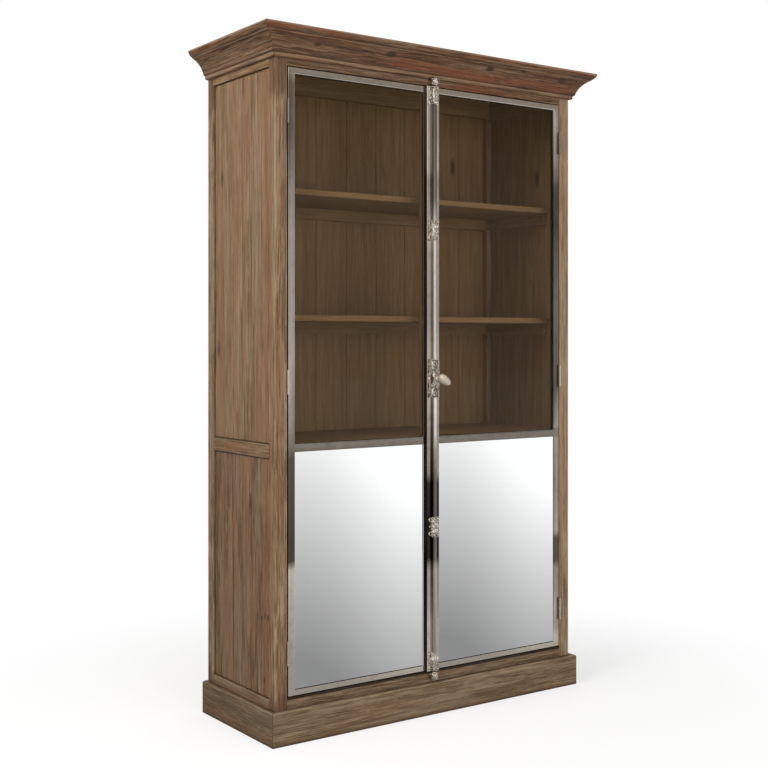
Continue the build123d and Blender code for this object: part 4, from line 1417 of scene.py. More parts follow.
    def _beaded_carving(self, form: Form, height: float) -> None:
        """Add pairs of large beads, a flower between leaves, rows of small beads and side lugs.

        Args:
            form: takes the carving.
            height: of the guide's middle.
        """
        depth = self.guide_depth
        pairs = [
            Spot(self._front(sx * 0.0078, height + sz * z, depth - 0.0016), size=size)
            for sx in BOTH for sz in BOTH for z, size in ((0.0275, 1.0), (0.0180, 0.9))
        ]
        self._set(form, bead(0.0046), pairs)
        leaves = self._flower(height, depth - 0.0012)
        for sz, up in zip(BOTH, (math.pi, 0.0)):
            leaves.append(Spot(self._front(0.0, height + sz * 0.0110, depth - 0.0016), turned(0.0, up), 1.25))
            for side in BOTH:
                place = self._front(side * 0.0040, height + sz * 0.0050, depth - 0.0016)
                leaves.append(Spot(place, turned(side * 0.3, up + sz * side * 0.9), 0.7))
        self._set(form, leaf(0.0150, 0.0058, 0.0034, 3, -0.0004), leaves)
        sides = []
        for side in BOTH:
            for rise in (-0.0260, -0.0165, -0.0070, 0.0070, 0.0165, 0.0260):
                place = self._front(side * 0.0128, height + rise - math.copysign(0.004, rise), 0.0085)
                sides.append(Spot(place, turned(side * 1.25, 0.2 if rise > 0 else math.pi - 0.2)))
        self._set(form, leaf(0.0115, 0.0080, 0.0034), sides)
        small = self._bead_rows(height, 0.0330, depth * 0.97)
        small.append(Spot(self._front(0.0, height, depth + 0.0016), size=1.3))
        self._set(form, bead(0.0018), small)
        for side in BOTH:
            lug = Spot(self._front(side * 0.0168, height, 0.0050))
            self._set(form, volute(0.0042, 0.0016, 1.5, side), [lug])

    def _case(self) -> Form:
        """Make the lock case: two carved blocks with a beaded boss between them, on a scalloped plate.

        Returns:
            The form.
        """
        form = Form()
        half = self.case_height / 2

        def body(s: float, t: float) -> Vector:
            """Give one point of the waisted body.

            Args:
                s: the share of the height.
                t: the share of the way round.

            Returns:
                The point.
            """
            z = (2.0 * s - 1.0) * half
            share = abs(z) / half
            close = max(0.0, 1.0 - share ** 14) ** 0.5
            width = self.case_half * (1.0 - 0.16 * math.exp(-(((share - 0.34) / 0.10) ** 2)))
            depth = self.case_depth * (0.70 + 0.26 * math.exp(-((share / 0.30) ** 2)))
            return self._block(width * close, depth * close, 0.55, t, self.case_middle + z)

        form.sheet(body, 64, 48)
        lobes = [(sx * 0.0150, sz * self.case_screw_rise, 0.0072) for sx in BOTH for sz in BOTH]
        lobes += [(sx * 0.0150, 0.0, 0.0070) for sx in BOTH] + [(0.0, sz * 0.0560, 0.0110) for sz in BOTH]
        outline = scallop(0.0165, half - 0.004, lobes)
        form.slab(outline, self._front(0.0, self.case_middle, 0.0), self.case_plate)
        d, b = self.case_depth, self.boss
        profile = [(0.0, 0.006), (b + 0.002, 0.006), (b + 0.002, d - 0.002), (b + 0.0005, d - 0.0005)]
        profile += [(b - 0.002, d), (b - 0.0035, d - 0.0008), (b - 0.0045, d + 0.0012)]
        profile += [(self.neck + 0.001, d + 0.0022), (0.0, d + 0.0022)]
        form.lathe(profile, self._forward(self.strip_face, self.case_middle), 40)
        self._case_carving(form)
        return form

    def _case_carving(self, form: Form) -> None:
        """Add the carving of the lock case: bead ring, bead columns, leaves and scrolls.

        Args:
            form: takes the carving.
        """
        middle, depth = self.case_middle, self.case_depth * 0.72
        reach = self.boss + 0.0012
        ring = []
        for step in range(self.ring_beads):
            angle = FULL_TURN * step / self.ring_beads
            x, z = reach * math.sin(angle), middle + reach * math.cos(angle)
            ring.append(Spot(self._front(x, z, self.case_depth - 0.0012)))
        for way in BOTH:
            ring += self._bead_rows(middle, 0.0640, depth * 0.96, (way,))
        self._set(form, bead(0.0018), ring)
        beads, leaves, sides = [], [], []
        for way, up in zip(BOTH, (math.pi, 0.0)):
            for side in BOTH:
                for rise, size in ((0.0565, 1.0), (0.0470, 0.9)):
                    beads.append(Spot(self._front(side * 0.0092, middle + way * rise, depth - 0.0018), size=size))
                for rise, roll, size in ((0.0200, 0.75, 1.15), (0.0285, 0.55, 1.1), (0.0370, 0.40, 1.0)):
                    place = self._front(side * 0.0045, middle + way * rise, depth - 0.0004)
                    leaves.append(Spot(place, turned(side * 0.3, up + way * side * roll), size))
                for rise in (0.0230, 0.0330, 0.0430, 0.0530):
                    place = self._front(side * 0.0150, middle + way * rise, 0.0090)
                    sides.append(Spot(place, turned(side * 1.2, up + side * way * 0.2)))
            leaves.append(Spot(self._front(0.0, middle + way * 0.0190, depth + 0.0012), turned(0.0, up), 1.5))
            leaves += self._flower(middle + way * 0.0500, depth - 0.0008)
            beads.append(Spot(self._front(0.0, middle + way * 0.0500, depth + 0.0004), size=0.6))
        self._set(form, bead(0.0045), beads)
        self._set(form, leaf(0.0150, 0.0066, 0.0040, 3, -0.0006), leaves)
        self._set(form, leaf(0.0125, 0.0085, 0.0036), sides)
        for side in BOTH:
            for way, up in zip(BOTH, (math.pi, 0.0)):
                curl = Spot(self._front(side * 0.0140, middle + way * 0.0205, 0.0150), turned(side * 0.75, up))
                self._set(form, volute(0.0058, 0.0019, 1.8, side * way), [curl])

    def _screws(self) -> Form:
        """Make the slotted screws that hold the guides and the lock case.

        Returns:
            The form.
        """
        form = Form()
        plates = [
            (height, style.value[2], self.guide_screw_rise, self.guide_plate, 0.7)
            for height, style in self.guide_heights
        ]
        plates.append((self.case_middle, self.case_screw_reach, self.case_screw_rise, self.case_plate, 0.0))
        spots = [
            Spot(self._front(side * reach, height + way * rise, thick), turned(0.0, roll * side))
            for height, reach, rise, thick, roll in plates for side in BOTH for way in BOTH
        ]
        self._set(form, screw_head(*self.screw), spots)
        return form

    def _knob(self) -> Form:
        """Make the olive knob with its woven surface, on a turned neck.

        Returns:
            The form.
        """
        form = Form()
        place = Matrix.Translation(self.knob_place) @ Matrix.Rotation(math.pi / 2 + self.knob_drop, 4, "Y")

        def point(s: float, t: float) -> Vector:
            """Give one point of the woven olive.

            Args:
                s: the share of the length.
                t: the share of the turn.

            Returns:
                The point.
            """
            z, swell = -math.cos(math.pi * s), math.sin(math.pi * s)
            angle = FULL_TURN * t
            weave = math.cos(9.0 * angle + 8.0 * z) * math.cos(9.0 * angle - 8.0 * z)
            radius = self.knob_width / 2 * swell * (1.0 - 0.13 * z) * (1.0 + 0.055 * swell * weave)
            return place @ Vector((radius * math.cos(angle), radius * math.sin(angle), z * self.knob_length / 2))

        form.sheet(point, 56, 108)
        start = self.strip_face - self.case_depth - 0.0005
        n, run = self.neck, start - self.knob_place.y
        profile = [(0.0, 0.0), (n + 0.002, 0.0), (n + 0.002, 0.002), (n, 0.0035), (n - 0.0012, 0.006)]
        profile += [(n - 0.0012, 0.010), (n, 0.012), (n + 0.0012, 0.014), (n, run), (n * 0.7, run + 0.004)]
        form.lathe(profile + [(0.0, run + 0.0055)], self._forward(start, self.case_middle), 28)
        return form

    def _keeper(self, height: float, way: int) -> Form:
        """Make one ball keeper: a bored ball with a band and petals, on a stem.

        Args:
            height: of the ball's middle.
            way: +1 where the rod comes from below, -1 where it comes from above.

        Returns:
            The form.
        """
        form = Form()
        r = self.ball
        half_turn = Matrix.Identity(4) if way > 0 else Matrix.Rotation(math.pi, 4, "X")
        middle = Vector((self.rod_x, self.rod_y, height))
        upright = Matrix.Translation(middle) @ half_turn
        mouth = -r - 0.0010
        profile = [(0.0, -self.bore_end), (self.bore, -self.bore_end), (self.bore, mouth), (r * 0.62, mouth)]
        profile += [(r * 0.68, mouth + 0.0016), (r * 0.60, mouth + 0.0030)]
        for step in range(5, 25):
            angle = math.pi * step / 24 - math.pi / 2
            profile.append((r * math.cos(angle), r * math.sin(angle)))
        form.lathe(profile, upright, 36)
        inner, outer = r - 0.001, r + 0.0004
        band = [(inner, -0.0032), (outer, -0.0026), (r + 0.0010, 0.0), (outer, 0.0026), (inner, 0.0032)]
        form.lathe(band + band[:1], upright, 36)
        turn = half_turn.to_3x3()
        petals = []
        for step in range(2 * self.petals):
            swing, row = FULL_TURN * step / self.petals, 1 if step < self.petals else -1
            tip = Matrix.Rotation(swing, 3, "Z") @ Matrix.Rotation(-0.55 if row > 0 else math.pi + 0.55, 3, "X")
            if row < 0:
                tip = tip @ Matrix.Rotation(math.pi, 3, "Z")
            local = Vector((r * 0.93 * math.sin(swing), -r * 0.93 * math.cos(swing), 0.0030 * row))
            petals.append(Spot(turn @ local + middle, turn @ tip))
        self._set(form, leaf(0.0105, 0.0086, 0.0028, 2), petals)
        self._set(form, bead(0.0030), [Spot(middle + Vector((0.0, 0.0, way * (r + 0.0008))))])
        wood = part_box("keeper_top")[1].y
        run = wood - self.rod_y - self.bore - 0.0015
        stem = [(0.0, 0.0), (0.0080, 0.0), (0.0080, 0.0012), (0.0065, 0.003), (0.0055, 0.0055), (0.0055, run)]
        form.lathe(stem + [(0.0, run)], self._forward(wood, height), 24)
        return form


class Timbers:
    """Makes the visible boards of the case in place of their plain nodes."""

    FIRST_SEED = 0.31
    SEED_STEP = 0.617
    HIDDEN = 0.004
    BOARD_GAP = 0.0002
    BOARD_EDGE = 0.0014
    BOARD_WEAR = -0.40

    def __init__(self, copies: Copies) -> None:
        """Keep the tree that repeats boards, and a run of seeds that makes every piece different."""
        self.copies = copies
        self.seeds = (self.FIRST_SEED + self.SEED_STEP * number for number in itertools.count())

    def keep(self, piece: bpy.types.Object, finish: Pine, grain: Axis, boards: Boards | None = None) -> None:
        """Give a node that stays its wooden finish."""
        paint(piece, finish.material(grain, next(self.seeds), boards))

    def line_inside(self, mesh: bpy.types.Mesh, grain: Axis, boards: Boards | None = None) -> None:
        """Give the faces that look towards the middle of the case the inner finish.

        Args:
            mesh: of a piece of one side.
            grain: the axis that the grain follows.
            boards: the boards of the piece.
        """
        mesh.materials.append(INSIDE.material(grain, next(self.seeds), boards))
        for face in mesh.polygons:
            face.material_index = int(face.normal.x * face.center.x < -0.2)

    def put(self, node: str, mesh: bpy.types.Mesh, material: bpy.types.Material) -> None:
        """Stand a mesh in place of a node of the case."""
        stand_in(f"{node}_timber", mesh, material, "carcass", node)

    def board(
        self, node: str, low: Vector, high: Vector, finish: Pine, grain: Axis, edge: float, wear: float
    ) -> None:
        """Make one board with rounded edges in place of a node.

        Args:
            node: the node.
            low: the board's lowest corner.
            high: its highest corner.
            finish: of its outside.
            grain: the axis that it follows.
            edge: the radius of its edges.
            wear: of its edges.
        """
        mesh = worn_board(low, high, grain, edge, wear)
        self.put(node, mesh, finish.material(grain, next(self.seeds)))
        if low.x * high.x > 0.0:
            self.line_inside(mesh, grain)

    def run(self, node: str, low: Vector, high: Vector, count: int, finish: Pine) -> None:
        """Make upright boards side by side along Y, with a dirty joint between them, in place of a node.

        Args:
            node: the node.
            low: the lowest corner of the run.
            high: its highest corner.
            count: how many boards there are.
            finish: of their outside.
        """
        pitch = (high.y - low.y) / count
        # Foot and head bound the shade painted along the frame.
        boards = Boards(Axis.Y, low.y, pitch, count, low.z + self.HIDDEN, high.z - self.HIDDEN)
        material = finish.material(Axis.Z, next(self.seeds), boards)
        end = Vector((high.x, low.y + pitch - self.BOARD_GAP, high.z))
        board = worn_board(low, end, Axis.Z, self.BOARD_EDGE, self.BOARD_WEAR)
        spots = [Spot(Vector((0.0, pitch * number, 0.0))) for number in range(count)]
        mesh = self.copies.spread(board, spots, material)
        self.put(node, mesh, material)
        self.line_inside(mesh, Axis.Z, replace(boards, foot=0.0, head=0.0))


def worn_board(low: Vector, high: Vector, grain: Axis, edge: float, wear: float) -> bpy.types.Mesh:
    """Make a board with rounded long edges, whose edges carry their wear as an attribute.

    Args:
        low: its lowest corner.
        high: its highest corner.
        grain: the axis that its long edges follow.
        edge: the radius of its edges.
        wear: of the edges, from -1, dirty, to 1, rubbed pale.

    Returns:
        The mesh.
    """
    mesh = bmesh.new()
    layer = mesh.verts.layers.float.new("wear")
    middle, size = (low + high) / 2, high - low
    bmesh.ops.create_cube(mesh, size=1.0, matrix=Matrix.Translation(middle) @ Matrix.Diagonal((*size, 1.0)))
    long_edges = [e for e in mesh.edges if abs((e.verts[0].co - e.verts[1].co)[grain.value]) > 1e-6]
    bmesh.ops.bevel(mesh, geom=long_edges, offset=edge, segments=3, profile=0.5, affect="EDGES")
    flats = [
        face for face in mesh.faces
        if max(abs(part) for part in face.normal) > 0.9999 and abs(face.normal[grain.value]) < 0.5
    ]
    bmesh.ops.inset_individual(mesh, faces=flats, thickness=min(edge * 1.4, min(size) * 0.3))
    inner = {vert for face in flats for vert in face.verts}
    for vert in mesh.verts:
        vert[layer] = 0.0 if vert in inner else wear
    return smooth(mesh, "board", crease=50.0)


def bow(start: Point, end: Point, rise: float, steps: int) -> list[Point]:
    """Draw a shallow arc between two points.

    Args:
        start: its first point.
        end: its last point.
        rise: how far it bulges to the left of the way.
        steps: how many pieces it has.

    Returns:
        Its points.
    """
    run = Vector(end) - Vector(start)
    left = Vector((-run.y, run.x)).normalized()
    shares = [step / steps for step in range(steps + 1)]
    return [tuple(Vector(start) + run * t + left * rise * (1.0 - (2.0 * t - 1.0) ** 2)) for t in shares]


def moulding(
    section: Section, start: Callable[[float, float], Vector], end: Callable[[float, float], Vector]
) -> bpy.types.Mesh:
    """Run a section between two ends.

    Args:
        section: its corners, as steps out from the case, height and wear.
        start: gives the place of a corner at one end.
        end: gives the place of a corner at the other end.

    Returns:
        A closed mesh whose edges carry their wear as an attribute, with dirt at the ends.
    """
    mesh = bmesh.new()
    layer = mesh.verts.layers.float.new("wear")
    rings = []
    for inward, dirt in ((0.0, END_DIRT), (END_DIRT_REACH, 0.0), (-END_DIRT_REACH, 0.0), (0.0, END_DIRT)):
        ring = []
        for out, up, wear in section:
            first, last = start(out, up), end(out, up)
            step = (last - first).normalized() * inward
            vert = mesh.verts.new((first if len(rings) < 2 else last) + step)
            vert[layer] = -dirt if dirt else wear
            ring.append(vert)
        rings.append(ring)
    for near, far in zip(rings, rings[1:]):
        for n in range(len(section)):
            after = (n + 1) % len(section)
            mesh.faces.new((near[n], near[after], far[after], far[n]))
    for ring in (rings[0], rings[-1]):
        mesh.faces.new(ring)
    bmesh.ops.recalc_face_normals(mesh, faces=mesh.faces)
    return smooth(mesh, "moulding", crease=28.0)


@dataclass
class Case:
    """The wooden case: posts, rails, boards and shelves."""

    side_boards: int = 6
    back_boards: int = 9
    post_edge: float = 0.0026
    rail_edge: float = 0.0020
    post_wear: float = 0.50
    side_rail_wear: float = 0.6
    front_rail_wear: float = 0.45
    level: tuple[str, ...] = (
        "floor_board", "mid_deck", "lower_shelf", "upper_shelf", "back_cleats", "door_stops", "back_top_rail",
        "back_bottom_rail",
    )
    deep: tuple[str, ...] = ("side_cleats", "floor_bearers")

    def build(self, timbers: Timbers, nodes: dict[str, bpy.types.Object]) -> None:
        """Make the outside of the case and finish its inside.

        Args:
            timbers: makes the boards.
            nodes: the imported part's nodes.
        """
        for hand, post in zip(HANDS, (POST, RIGHT_POST)):
            self._side(timbers, hand, post)
        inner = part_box("front_post_right")[0].x
        for node, finish in (("front_top_rail", FRIEZE), ("front_bottom_rail", SILL)):
            low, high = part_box(node)
            low.x, high.x = -inner, inner
            timbers.board(node, low, high, finish, Axis.X, self.rail_edge, self.front_rail_wear)
        low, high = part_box("back_boards")
        boards = Boards(Axis.X, low.x, (high.x - low.x) / self.back_boards, self.back_boards)
        timbers.keep(nodes["back_boards"], INSIDE, Axis.Z, boards)
        timbers.keep(nodes["top_board"], OUTSIDE, Axis.X)
        for names, grain in ((self.level, Axis.X), (self.deep, Axis.Y)):
            for name in names:
                timbers.keep(nodes[name], INSIDE, grain)

    def _side(self, timbers: Timbers, hand: str, post: Pine) -> None:
        """Make the posts, rails and boards of one side.

        Args:
            timbers: makes the boards.
            hand: the side.
            post: the finish of its posts.
        """
        for name in ("front_post", "back_post"):
            low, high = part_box(f"{name}_{hand}")
            timbers.board(f"{name}_{hand}", low, high, post, Axis.Z, self.post_edge, self.post_wear)
        front_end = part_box(f"front_post_{hand}")[1].y
        back_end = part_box(f"back_post_{hand}")[0].y
        levels = []
        for name in ("side_top_rail", "side_mid_rail", "side_bottom_rail"):
            low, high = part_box(f"{name}_{hand}")
            levels += [high.z, low.z]
            low.y, high.y = front_end, back_end
            timbers.board(f"{name}_{hand}", low, high, RAIL, Axis.Y, self.rail_edge, self.side_rail_wear)
        _, upper_head, upper_foot, lower_head, lower_foot, _ = levels
        runs = (
            ("side_upper_boards", upper_foot, upper_head, OUTSIDE),
            ("side_lower_boards", lower_foot, lower_head, LOWER),
        )
        for name, foot, head, finish in runs:
            low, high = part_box(f"{name}_{hand}")
            low.y, high.y, low.z, high.z = front_end, back_end, foot - timbers.HIDDEN, head + timbers.HIDDEN
            timbers.run(f"{name}_{hand}", low, high, self.side_boards, finish)


@dataclass
class Mouldings:
    """The plinth and the crown that run round the front and both sides, mitred at the front corners."""

    plinth_out: float = 0.021
    plinth_edge: float = 0.008
    foot_edge: float = 0.002
    bead: float = 0.006
    bead_seat: float = 0.005
    bead_top: float = 0.012
    cove_foot: Point = (0.017, 0.015)
    cove_head: Point = (0.060, 0.069)
    cove_hollow: float = 0.0077
    lip_step: float = 0.003
    lip_drop: float = 0.005
    lip_swell: float = 0.0022
    overhang: float = 0.075

    def build(self, timbers: Timbers) -> None:
        """Make the plinth and the crown.

        Args:
            timbers: stands them in place of their nodes.
        """
        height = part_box("plinth_front")[1].z
        low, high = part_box("crown_front")
        self._round(timbers, "plinth", self._plinth_section(height), PLINTH, PLINTH_SIDE)
        self._round(timbers, "crown", self._crown_section(low.z, high.z), CROWN, CROWN_SIDE)

    def _plinth_section(self, height: float) -> Section:
        """Draw the plinth's section: a board with a rounded upper edge and a dirty foot.

        Args:
            height: of the plinth.

        Returns:
            The section's corners.
        """
        out, r = self.plinth_out, self.plinth_edge
        section = [(0.0, 0.0, -0.6), (out - self.foot_edge, 0.0, -0.9), (out, self.foot_edge, -0.9)]
        section += [(out, 0.012, -0.35), (out, 0.030, 0.0), (out, height - r - 0.004, 0.0)]
        for step in range(7):
            angle = math.pi / 2 * step / 6
            wear = 0.10 + 0.50 * math.sin(2.0 * angle)
            section.append((out - r + r * math.cos(angle), height - r + r * math.sin(angle), wear))
        return section + [(out - r - 0.002, height, -0.1), (0.007, height, -0.8), (0.0, height, -0.95)]

    def _crown_section(self, foot: float, top: float) -> Section:
        """Draw the crown's section: a bead, a cove and a rounded lip under a flat top.

        Args:
            foot: the height of its foot.
            top: the height of its top.

        Returns:
            The section's corners.
        """
        rise, bead_out = top - foot, self.bead_seat + self.bead
        section = [(0.0, 0.0, -0.9), (self.bead_seat - 0.001, 0.0, -0.2)]
        for step in range(6):
            angle = -math.pi / 2 + math.pi / 2 * step / 5
            place = (self.bead_seat + self.bead * math.cos(angle), self.bead + self.bead * math.sin(angle))
            section.append((*place, 0.2 + 0.5 * step / 5))
        section += [(bead_out, self.bead_top - 0.001, 0.9), (bead_out + 0.0012, self.bead_top + 0.0005, 0.7)]
        section.append((self.cove_foot[0] - 0.001, self.cove_foot[1] - 0.0006, -0.8))
        cove = bow(self.cove_foot, self.cove_head, self.cove_hollow, 16)
        section += [(*place, wear) for place, wear in zip(cove, [-0.8, -0.1] + [0.0] * 13 + [0.15, 0.95])]
        lip_foot = (self.cove_head[0] + self.lip_step, self.cove_head[1] + self.lip_step)
        lip = bow(lip_foot, (self.overhang, rise - self.lip_drop), -self.lip_swell, 8)
        section += [(*place, wear) for place, wear in zip(lip, [-0.9, -0.3] + [0.0] * 5 + [0.4, 0.8])]
        section += [(self.overhang, rise - 0.0015, 0.85), (self.overhang - 0.0015, rise, 0.85)]
        section += [(self.overhang - 0.006, rise, 0.0), (0.0, rise, 0.0)]
        return [(out, foot + up, wear) for out, up, wear in section]

    def _round(self, timbers: Timbers, name: str, section: Section, front: Pine, sides: Pine) -> None:
        """Run one section along the front and both sides.

        Args:
            timbers: stands the runs in place of their nodes.
            name: of the moulding.
            section: its corners.
            front: the finish of the front.
            sides: the finish of both sides.
        """
        low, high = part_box("front_post_right")
        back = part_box("back_post_right")[1].y

        def corner(hand: int) -> Callable[[float, float], Vector]:
            """Give the mitred end at a front corner."""
            return lambda out, up: Vector((hand * (high.x + out), low.y - out, up))

        def rear(hand: int) -> Callable[[float, float], Vector]:
            """Give the square end at the back."""
            return lambda out, up: Vector((hand * (high.x + out), back, up))

        material = front.material(Axis.X, next(timbers.seeds))
        timbers.put(f"{name}_front", moulding(section, corner(-1), corner(1)), material)
        for hand, word in zip(BOTH, HANDS):
            material = sides.material(Axis.Y, next(timbers.seeds))
            timbers.put(f"{name}_{word}", moulding(section, rear(hand), corner(hand)), material)


@dataclass
class DoorFrame:
    """One welded metal door frame: outer stiles and rails, and a rail between glass and mirror."""

    hand: str
    left_stile: float
    right_stile: float
    rail: float = 0.020
    mid_rail: Point = (0.923, 0.950)
    edge: float = 0.0016
    shadow_line: float = 0.0017

    def build(self, finishes: Sequence[bpy.types.Material]) -> None:
        """Make the frame in place of its node.

        Args:
            finishes: of the frame, of the shadow line painted under the mirror and of the left edge painted dark as
                shade, of a slim stile beside the mirror, and of a slim stile beside the glass painted umber as
                shade.
        """
        node = f"{self.hand}_door_frame"
        low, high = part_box(node)
        # The top of the lower rail under the mirror is painted dark as a shadow line.
        line = low.z + self.rail - self.shadow_line
        xs = (low.x, low.x + self.left_stile, high.x - self.right_stile, high.x)
        zs = (low.z, line, low.z + self.rail, *self.mid_rail, high.z - self.rail, high.z)
        rails = (0, 1, 3, 5)
        mesh = bmesh.new()
        rows = [[mesh.verts.new((x, low.y, z)) for x in xs] for z in zs]
        faces = [
            mesh.faces.new((rows[r][c], rows[r][c + 1], rows[r + 1][c + 1], rows[r + 1][c]))
            for r in range(len(zs) - 1) for c in range(len(xs) - 1) if c != 1 or r in rails
        ]
        grown = bmesh.ops.extrude_face_region(mesh, geom=faces)
        moved = [item for item in grown["geom"] if isinstance(item, bmesh.types.BMVert)]
        bmesh.ops.translate(mesh, vec=(0.0, high.y - low.y, 0.0), verts=moved)
        bmesh.ops.recalc_face_normals(mesh, faces=mesh.faces)
        sharp = [edge for edge in mesh.edges if edge.is_manifold and edge.calc_face_angle() > 0.6]
        bmesh.ops.bevel(mesh, geom=sharp, offset=self.edge, segments=3, profile=0.5, affect="EDGES")
        data = smooth(mesh, node, crease=35.0)
        stand_in(f"{self.hand}_frame_bars", data, finishes[0], f"{self.hand}_door", node)
        for finish in finishes[1:]:
            data.materials.append(finish)
        slim = self.right_stile < self.rail
        # Painted shade: the shadow line and the frames' left sides take the dark steel, and the slim stile beside
        # the glass takes umber.
        for face in data.polygons:
            x, _, z = face.center
            if xs[1] < x < xs[2]:
                face.material_index = int(line < z < zs[2] + 1e-5)
            elif face.normal.x < -0.9 and x < xs[0] + 1e-4:
                face.material_index = 1
            elif slim and x > xs[2] and zs[2] < z < zs[3]:
                face.material_index = 2
            elif slim and x > xs[2] and zs[4] < z < zs[5]:
                face.material_index = 3


@dataclass
class Doors:
    """The two door leaves with their panes, hinges and bolt."""

    slim_stile: float = 0.0060
    stile: float = 0.025
    strip: float = 0.052
    backing_seed: float = 3.3
    finishes: tuple[tuple[Finish, tuple[str, ...]], ...] = (
        (STRIP_NICKEL, ("meeting_strip",)),
        (
            HINGE_NICKEL,
            ("post_hinge_leaves", "left_door_hinge_leaves", "right_door_hinge_leaves", "hinge_pins", "hinge_screws"),
        ),
        (ROD_NICKEL, ("upper_rod", "lower_rod")),
        (BRONZE, ("left_door_glazing_beads", "right_door_glazing_beads")),
        (GLASS, ("left_door_glass", "right_door_glass")),
        (MIRROR, ("left_door_mirror", "right_door_mirror")),
    )

    def build(self, copies: Copies, nodes: dict[str, bpy.types.Object]) -> None:
        """Give every node of the doors its finish, and make the frames and castings.

        Args:
            copies: repeats the ornaments.
            nodes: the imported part's nodes.
        """
        for finish, names in self.finishes:
            material = finish.material()
            for name in names:
                paint(nodes[name], material)
        backing = BACKING.material(Axis.Z, self.backing_seed)
        for hand in HANDS:
            paint(nodes[f"{hand}_door_mirror_backing"], backing)
        edges = [finish.material() for finish in (STEEL, EDGE_NICKEL, UMBER)]
        paint(nodes["spindle_pinion"], edges[0])
        DoorFrame("left", self.stile, self.slim_stile).build([FRAME_NICKEL.material(), *edges])
        DoorFrame("right", self.strip, self.stile).build([RIGHT_NICKEL.material(), *edges])
        Bolt(copies, CAST_NICKEL.material(), KNOB_NICKEL.material()).build()


@dataclass(frozen=True)
class Lamp:
    """One soft square lamp."""

    name: str
    place: Triple
    aim: Triple
    size: float
    watts: float
    tint: Colour

    def hang(self) -> None:
        """Put the lamp in the scene, unseen in reflections."""
        data = bpy.data.lights.new(self.name, "AREA")
        data.size, data.energy, data.color = self.size, self.watts, self.tint
        lamp = link(bpy.data.objects.new(self.name, data))
        lamp.location = self.place
        lamp.rotation_euler = (Vector(self.aim) - Vector(self.place)).to_track_quat("-Z", "Y").to_euler()
        lamp.visible_glossy = False


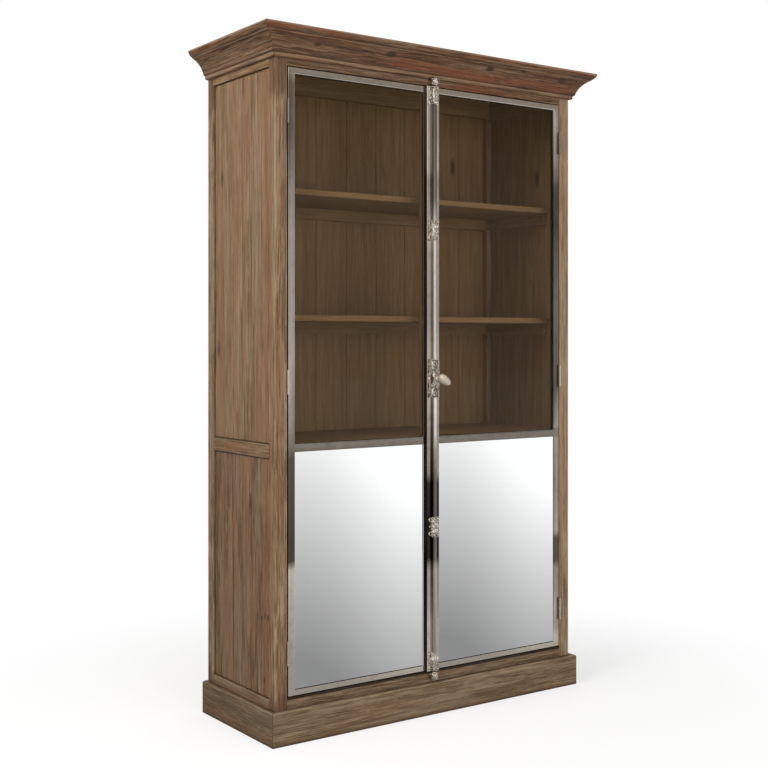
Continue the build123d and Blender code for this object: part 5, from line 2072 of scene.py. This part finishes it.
@dataclass
class Studio:
    """Camera, lamps, pale floor and white surroundings.

    In mirrors the floor is a grey that grows paler away from the doors and, on each mirror, from left to right.
    Bands are the sideways slopes at which the eye sees the two mirrors' edges; mirror_shade holds the grey's start,
    its rise with distance and its rise across a mirror.
    """

    eye: Vector = field(default_factory=lambda: Vector((-2.634, -3.631, 1.283)))
    yaw: float = math.radians(35.17)
    ahead: Point = (0.576, 0.8175)
    lens: float = 59.03
    sensor: float = 36.0
    horizon_row: float = 339.1
    picture: float = 768.0
    far_end: float = 200.0
    floor_size: float = 60.0
    fill: float = 0.55
    floor_tone: float = 0.86
    fade_reach: Point = (0.70, 1.9)
    fade_share: Point = (0.58, 1.0)
    door_plane: float = 0.188
    eye_run: float = 3.443
    bands: tuple[Point, Point] = ((0.600, 0.756), (0.768, 0.930))
    mirror_shade: Triple = (0.406, 0.760, 0.204)
    shade_limits: Point = (0.56, 1.03)
    gamma: float = 2.2
    room_ahead: Stops = (
        (0.0, (0.60, 0.61, 0.66)),
        (0.11, (0.62, 0.63, 0.67)),
        (0.16, (0.30, 0.27, 0.24)),
        (0.60, (0.34, 0.31, 0.28)),
        (0.85, (0.90, 0.90, 0.90)),
    )
    room_around: Stops = ((0.0, (0.55, 0.54, 0.52)), (0.25, WHITE), (0.9, (0.75, 0.75, 0.75)))
    ahead_edge: Point = (0.80, 0.93)
    room_behind: Colour = (0.03, 0.028, 0.025)
    behind_edge: Point = (0.72, 0.95)
    behind_share: float = 0.93
    room_right: Colour = (0.04, 0.036, 0.032)
    right_edge: Point = (0.86, 0.97)
    right_share: float = 0.9
    lamps: tuple[Lamp, ...] = (
        Lamp("key", (-3.3, -0.7, 3.4), (-0.5, 0.0, 1.7), 1.8, 108.0, (1.0, 0.98, 0.95)),
        Lamp("front", (-0.2, -4.7, 1.7), (0.1, 0.0, 1.0), 2.4, 92.0, (1.0, 0.99, 0.97)),
    )

    def camera(self) -> None:
        """Stand the camera where the photograph was taken from."""
        data = bpy.data.cameras.new("camera")
        data.lens, data.sensor_width, data.clip_end = self.lens, self.sensor, self.far_end
        data.shift_y = (self.horizon_row - self.picture / 2) / self.picture
        camera = link(bpy.data.objects.new("camera", data))
        camera.location = self.eye
        camera.rotation_euler = (math.pi / 2, 0.0, -self.yaw)
        bpy.context.scene.camera = camera

    def surroundings(self) -> None:
        """Make the world: white to the eye, a plain fill light, and a soft room in reflections."""
        world = bpy.data.worlds.new("surroundings")
        bpy.context.scene.world = world
        world.use_nodes = True
        shader = Graph(world.node_tree)
        ray = shader.add("ShaderNodeLightPath")
        x, y, rise = shader.split(shader.add("ShaderNodeTexCoord")["Generated"])
        ahead, around = shader.ramp(rise, self.room_ahead), shader.ramp(rise, self.room_around)
        flat = (x * x + y * y).most(0.0001) ** 0.5
        sine, cosine = self.ahead
        toward = (x * sine - y * cosine) / flat
        behind = (y * sine - x * cosine) / flat
        room = shader.mix(shader.step(toward, *self.ahead_edge), around, ahead)
        rear = shader.step(behind, *self.behind_edge, 0.0, self.behind_share)
        room = shader.mix(rear, room, self.room_behind)
        right = shader.step(x / flat, *self.right_edge, 0.0, self.right_share)
        room = shader.mix(right, room, self.room_right)
        colour = shader.mix(ray["Is Glossy Ray"], (self.fill,) * 3, room)
        seen = ray["Is Camera Ray"].most(ray["Is Transmission Ray"])
        colour = shader.mix(seen, colour, WHITE)
        glow = shader.add("ShaderNodeBackground", None, {"Color": colour, "Strength": 1.0})
        shader.add("ShaderNodeOutputWorld", None, {"Surface": glow["Background"]})

    def floor(self) -> None:
        """Lay the pale floor: white with a soft shadow to the eye, shaded near the doors in mirrors."""
        mesh = bpy.data.meshes.new("floor")
        half = self.floor_size / 2
        corners = [(-half, -half, 0.0), (half, -half, 0.0), (half, half, 0.0), (-half, half, 0.0)]
        mesh.from_pydata(corners, [], [(0, 1, 2, 3)])
        floor = link(bpy.data.objects.new("floor", mesh))
        material = bpy.data.materials.new("floor")
        material.use_nodes = True
        shader = Graph(material.node_tree)
        x, y, _ = shader.split(shader.add("ShaderNodeTexCoord")["Object"])
        ray = shader.add("ShaderNodeLightPath")
        tone = shader.mix(ray["Is Camera Ray"], (self.floor_tone,) * 3, WHITE)
        pale = shader.add("ShaderNodeBsdfDiffuse", None, {"Color": tone})
        white = shader.add("ShaderNodeEmission", None, {"Color": WHITE, "Strength": 1.0})
        away = (x * x + y * y) ** 0.5
        fade = shader.step(away, *self.fade_reach, *self.fade_share) * ray["Is Camera Ray"]
        seen = shader.add("ShaderNodeMixShader", None, {0: fade, 1: pale["BSDF"], 2: white["Emission"]})
        run = (y * -1.0 - self.door_plane).most(0.0)
        swing = (x - self.eye.x) / (run + self.eye_run)
        first, second = self.bands
        share = shader.step(swing, *first) - shader.step(swing, first[1], second[0])
        share = share + shader.step(swing, *second)
        start, rise, lift = self.mirror_shade
        low, high = self.shade_limits
        shade = (start + rise * run / (run + self.eye_run) + lift * share).most(low).least(high) ** self.gamma
        grey = shader.vector(shade, shade, shade)
        reflected = shader.add("ShaderNodeEmission", None, {"Color": grey, "Strength": 1.0})
        values = {0: ray["Is Glossy Ray"], 1: seen["Shader"], 2: reflected["Emission"]}
        out = shader.add("ShaderNodeMixShader", None, values)
        shader.add("ShaderNodeOutputMaterial", None, {"Surface": out["Shader"]})
        mesh.materials.append(material)

    def build(self) -> None:
        """Set up the whole studio."""
        self.camera()
        self.surroundings()
        self.floor()
        for lamp in self.lamps:
            lamp.hang()
        bpy.context.scene.view_settings.view_transform = "Standard"


def main() -> None:
    """Build the armoire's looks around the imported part."""
    logging.basicConfig(level=logging.INFO, format="%(name)s: %(message)s")
    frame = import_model()
    nodes = frame["nodes"]
    copies = Copies()
    timbers = Timbers(copies)
    Case().build(timbers, nodes)
    Mouldings().build(timbers)
    Doors().build(copies, nodes)
    Studio().build()


if __name__ == "__main__":
    main()
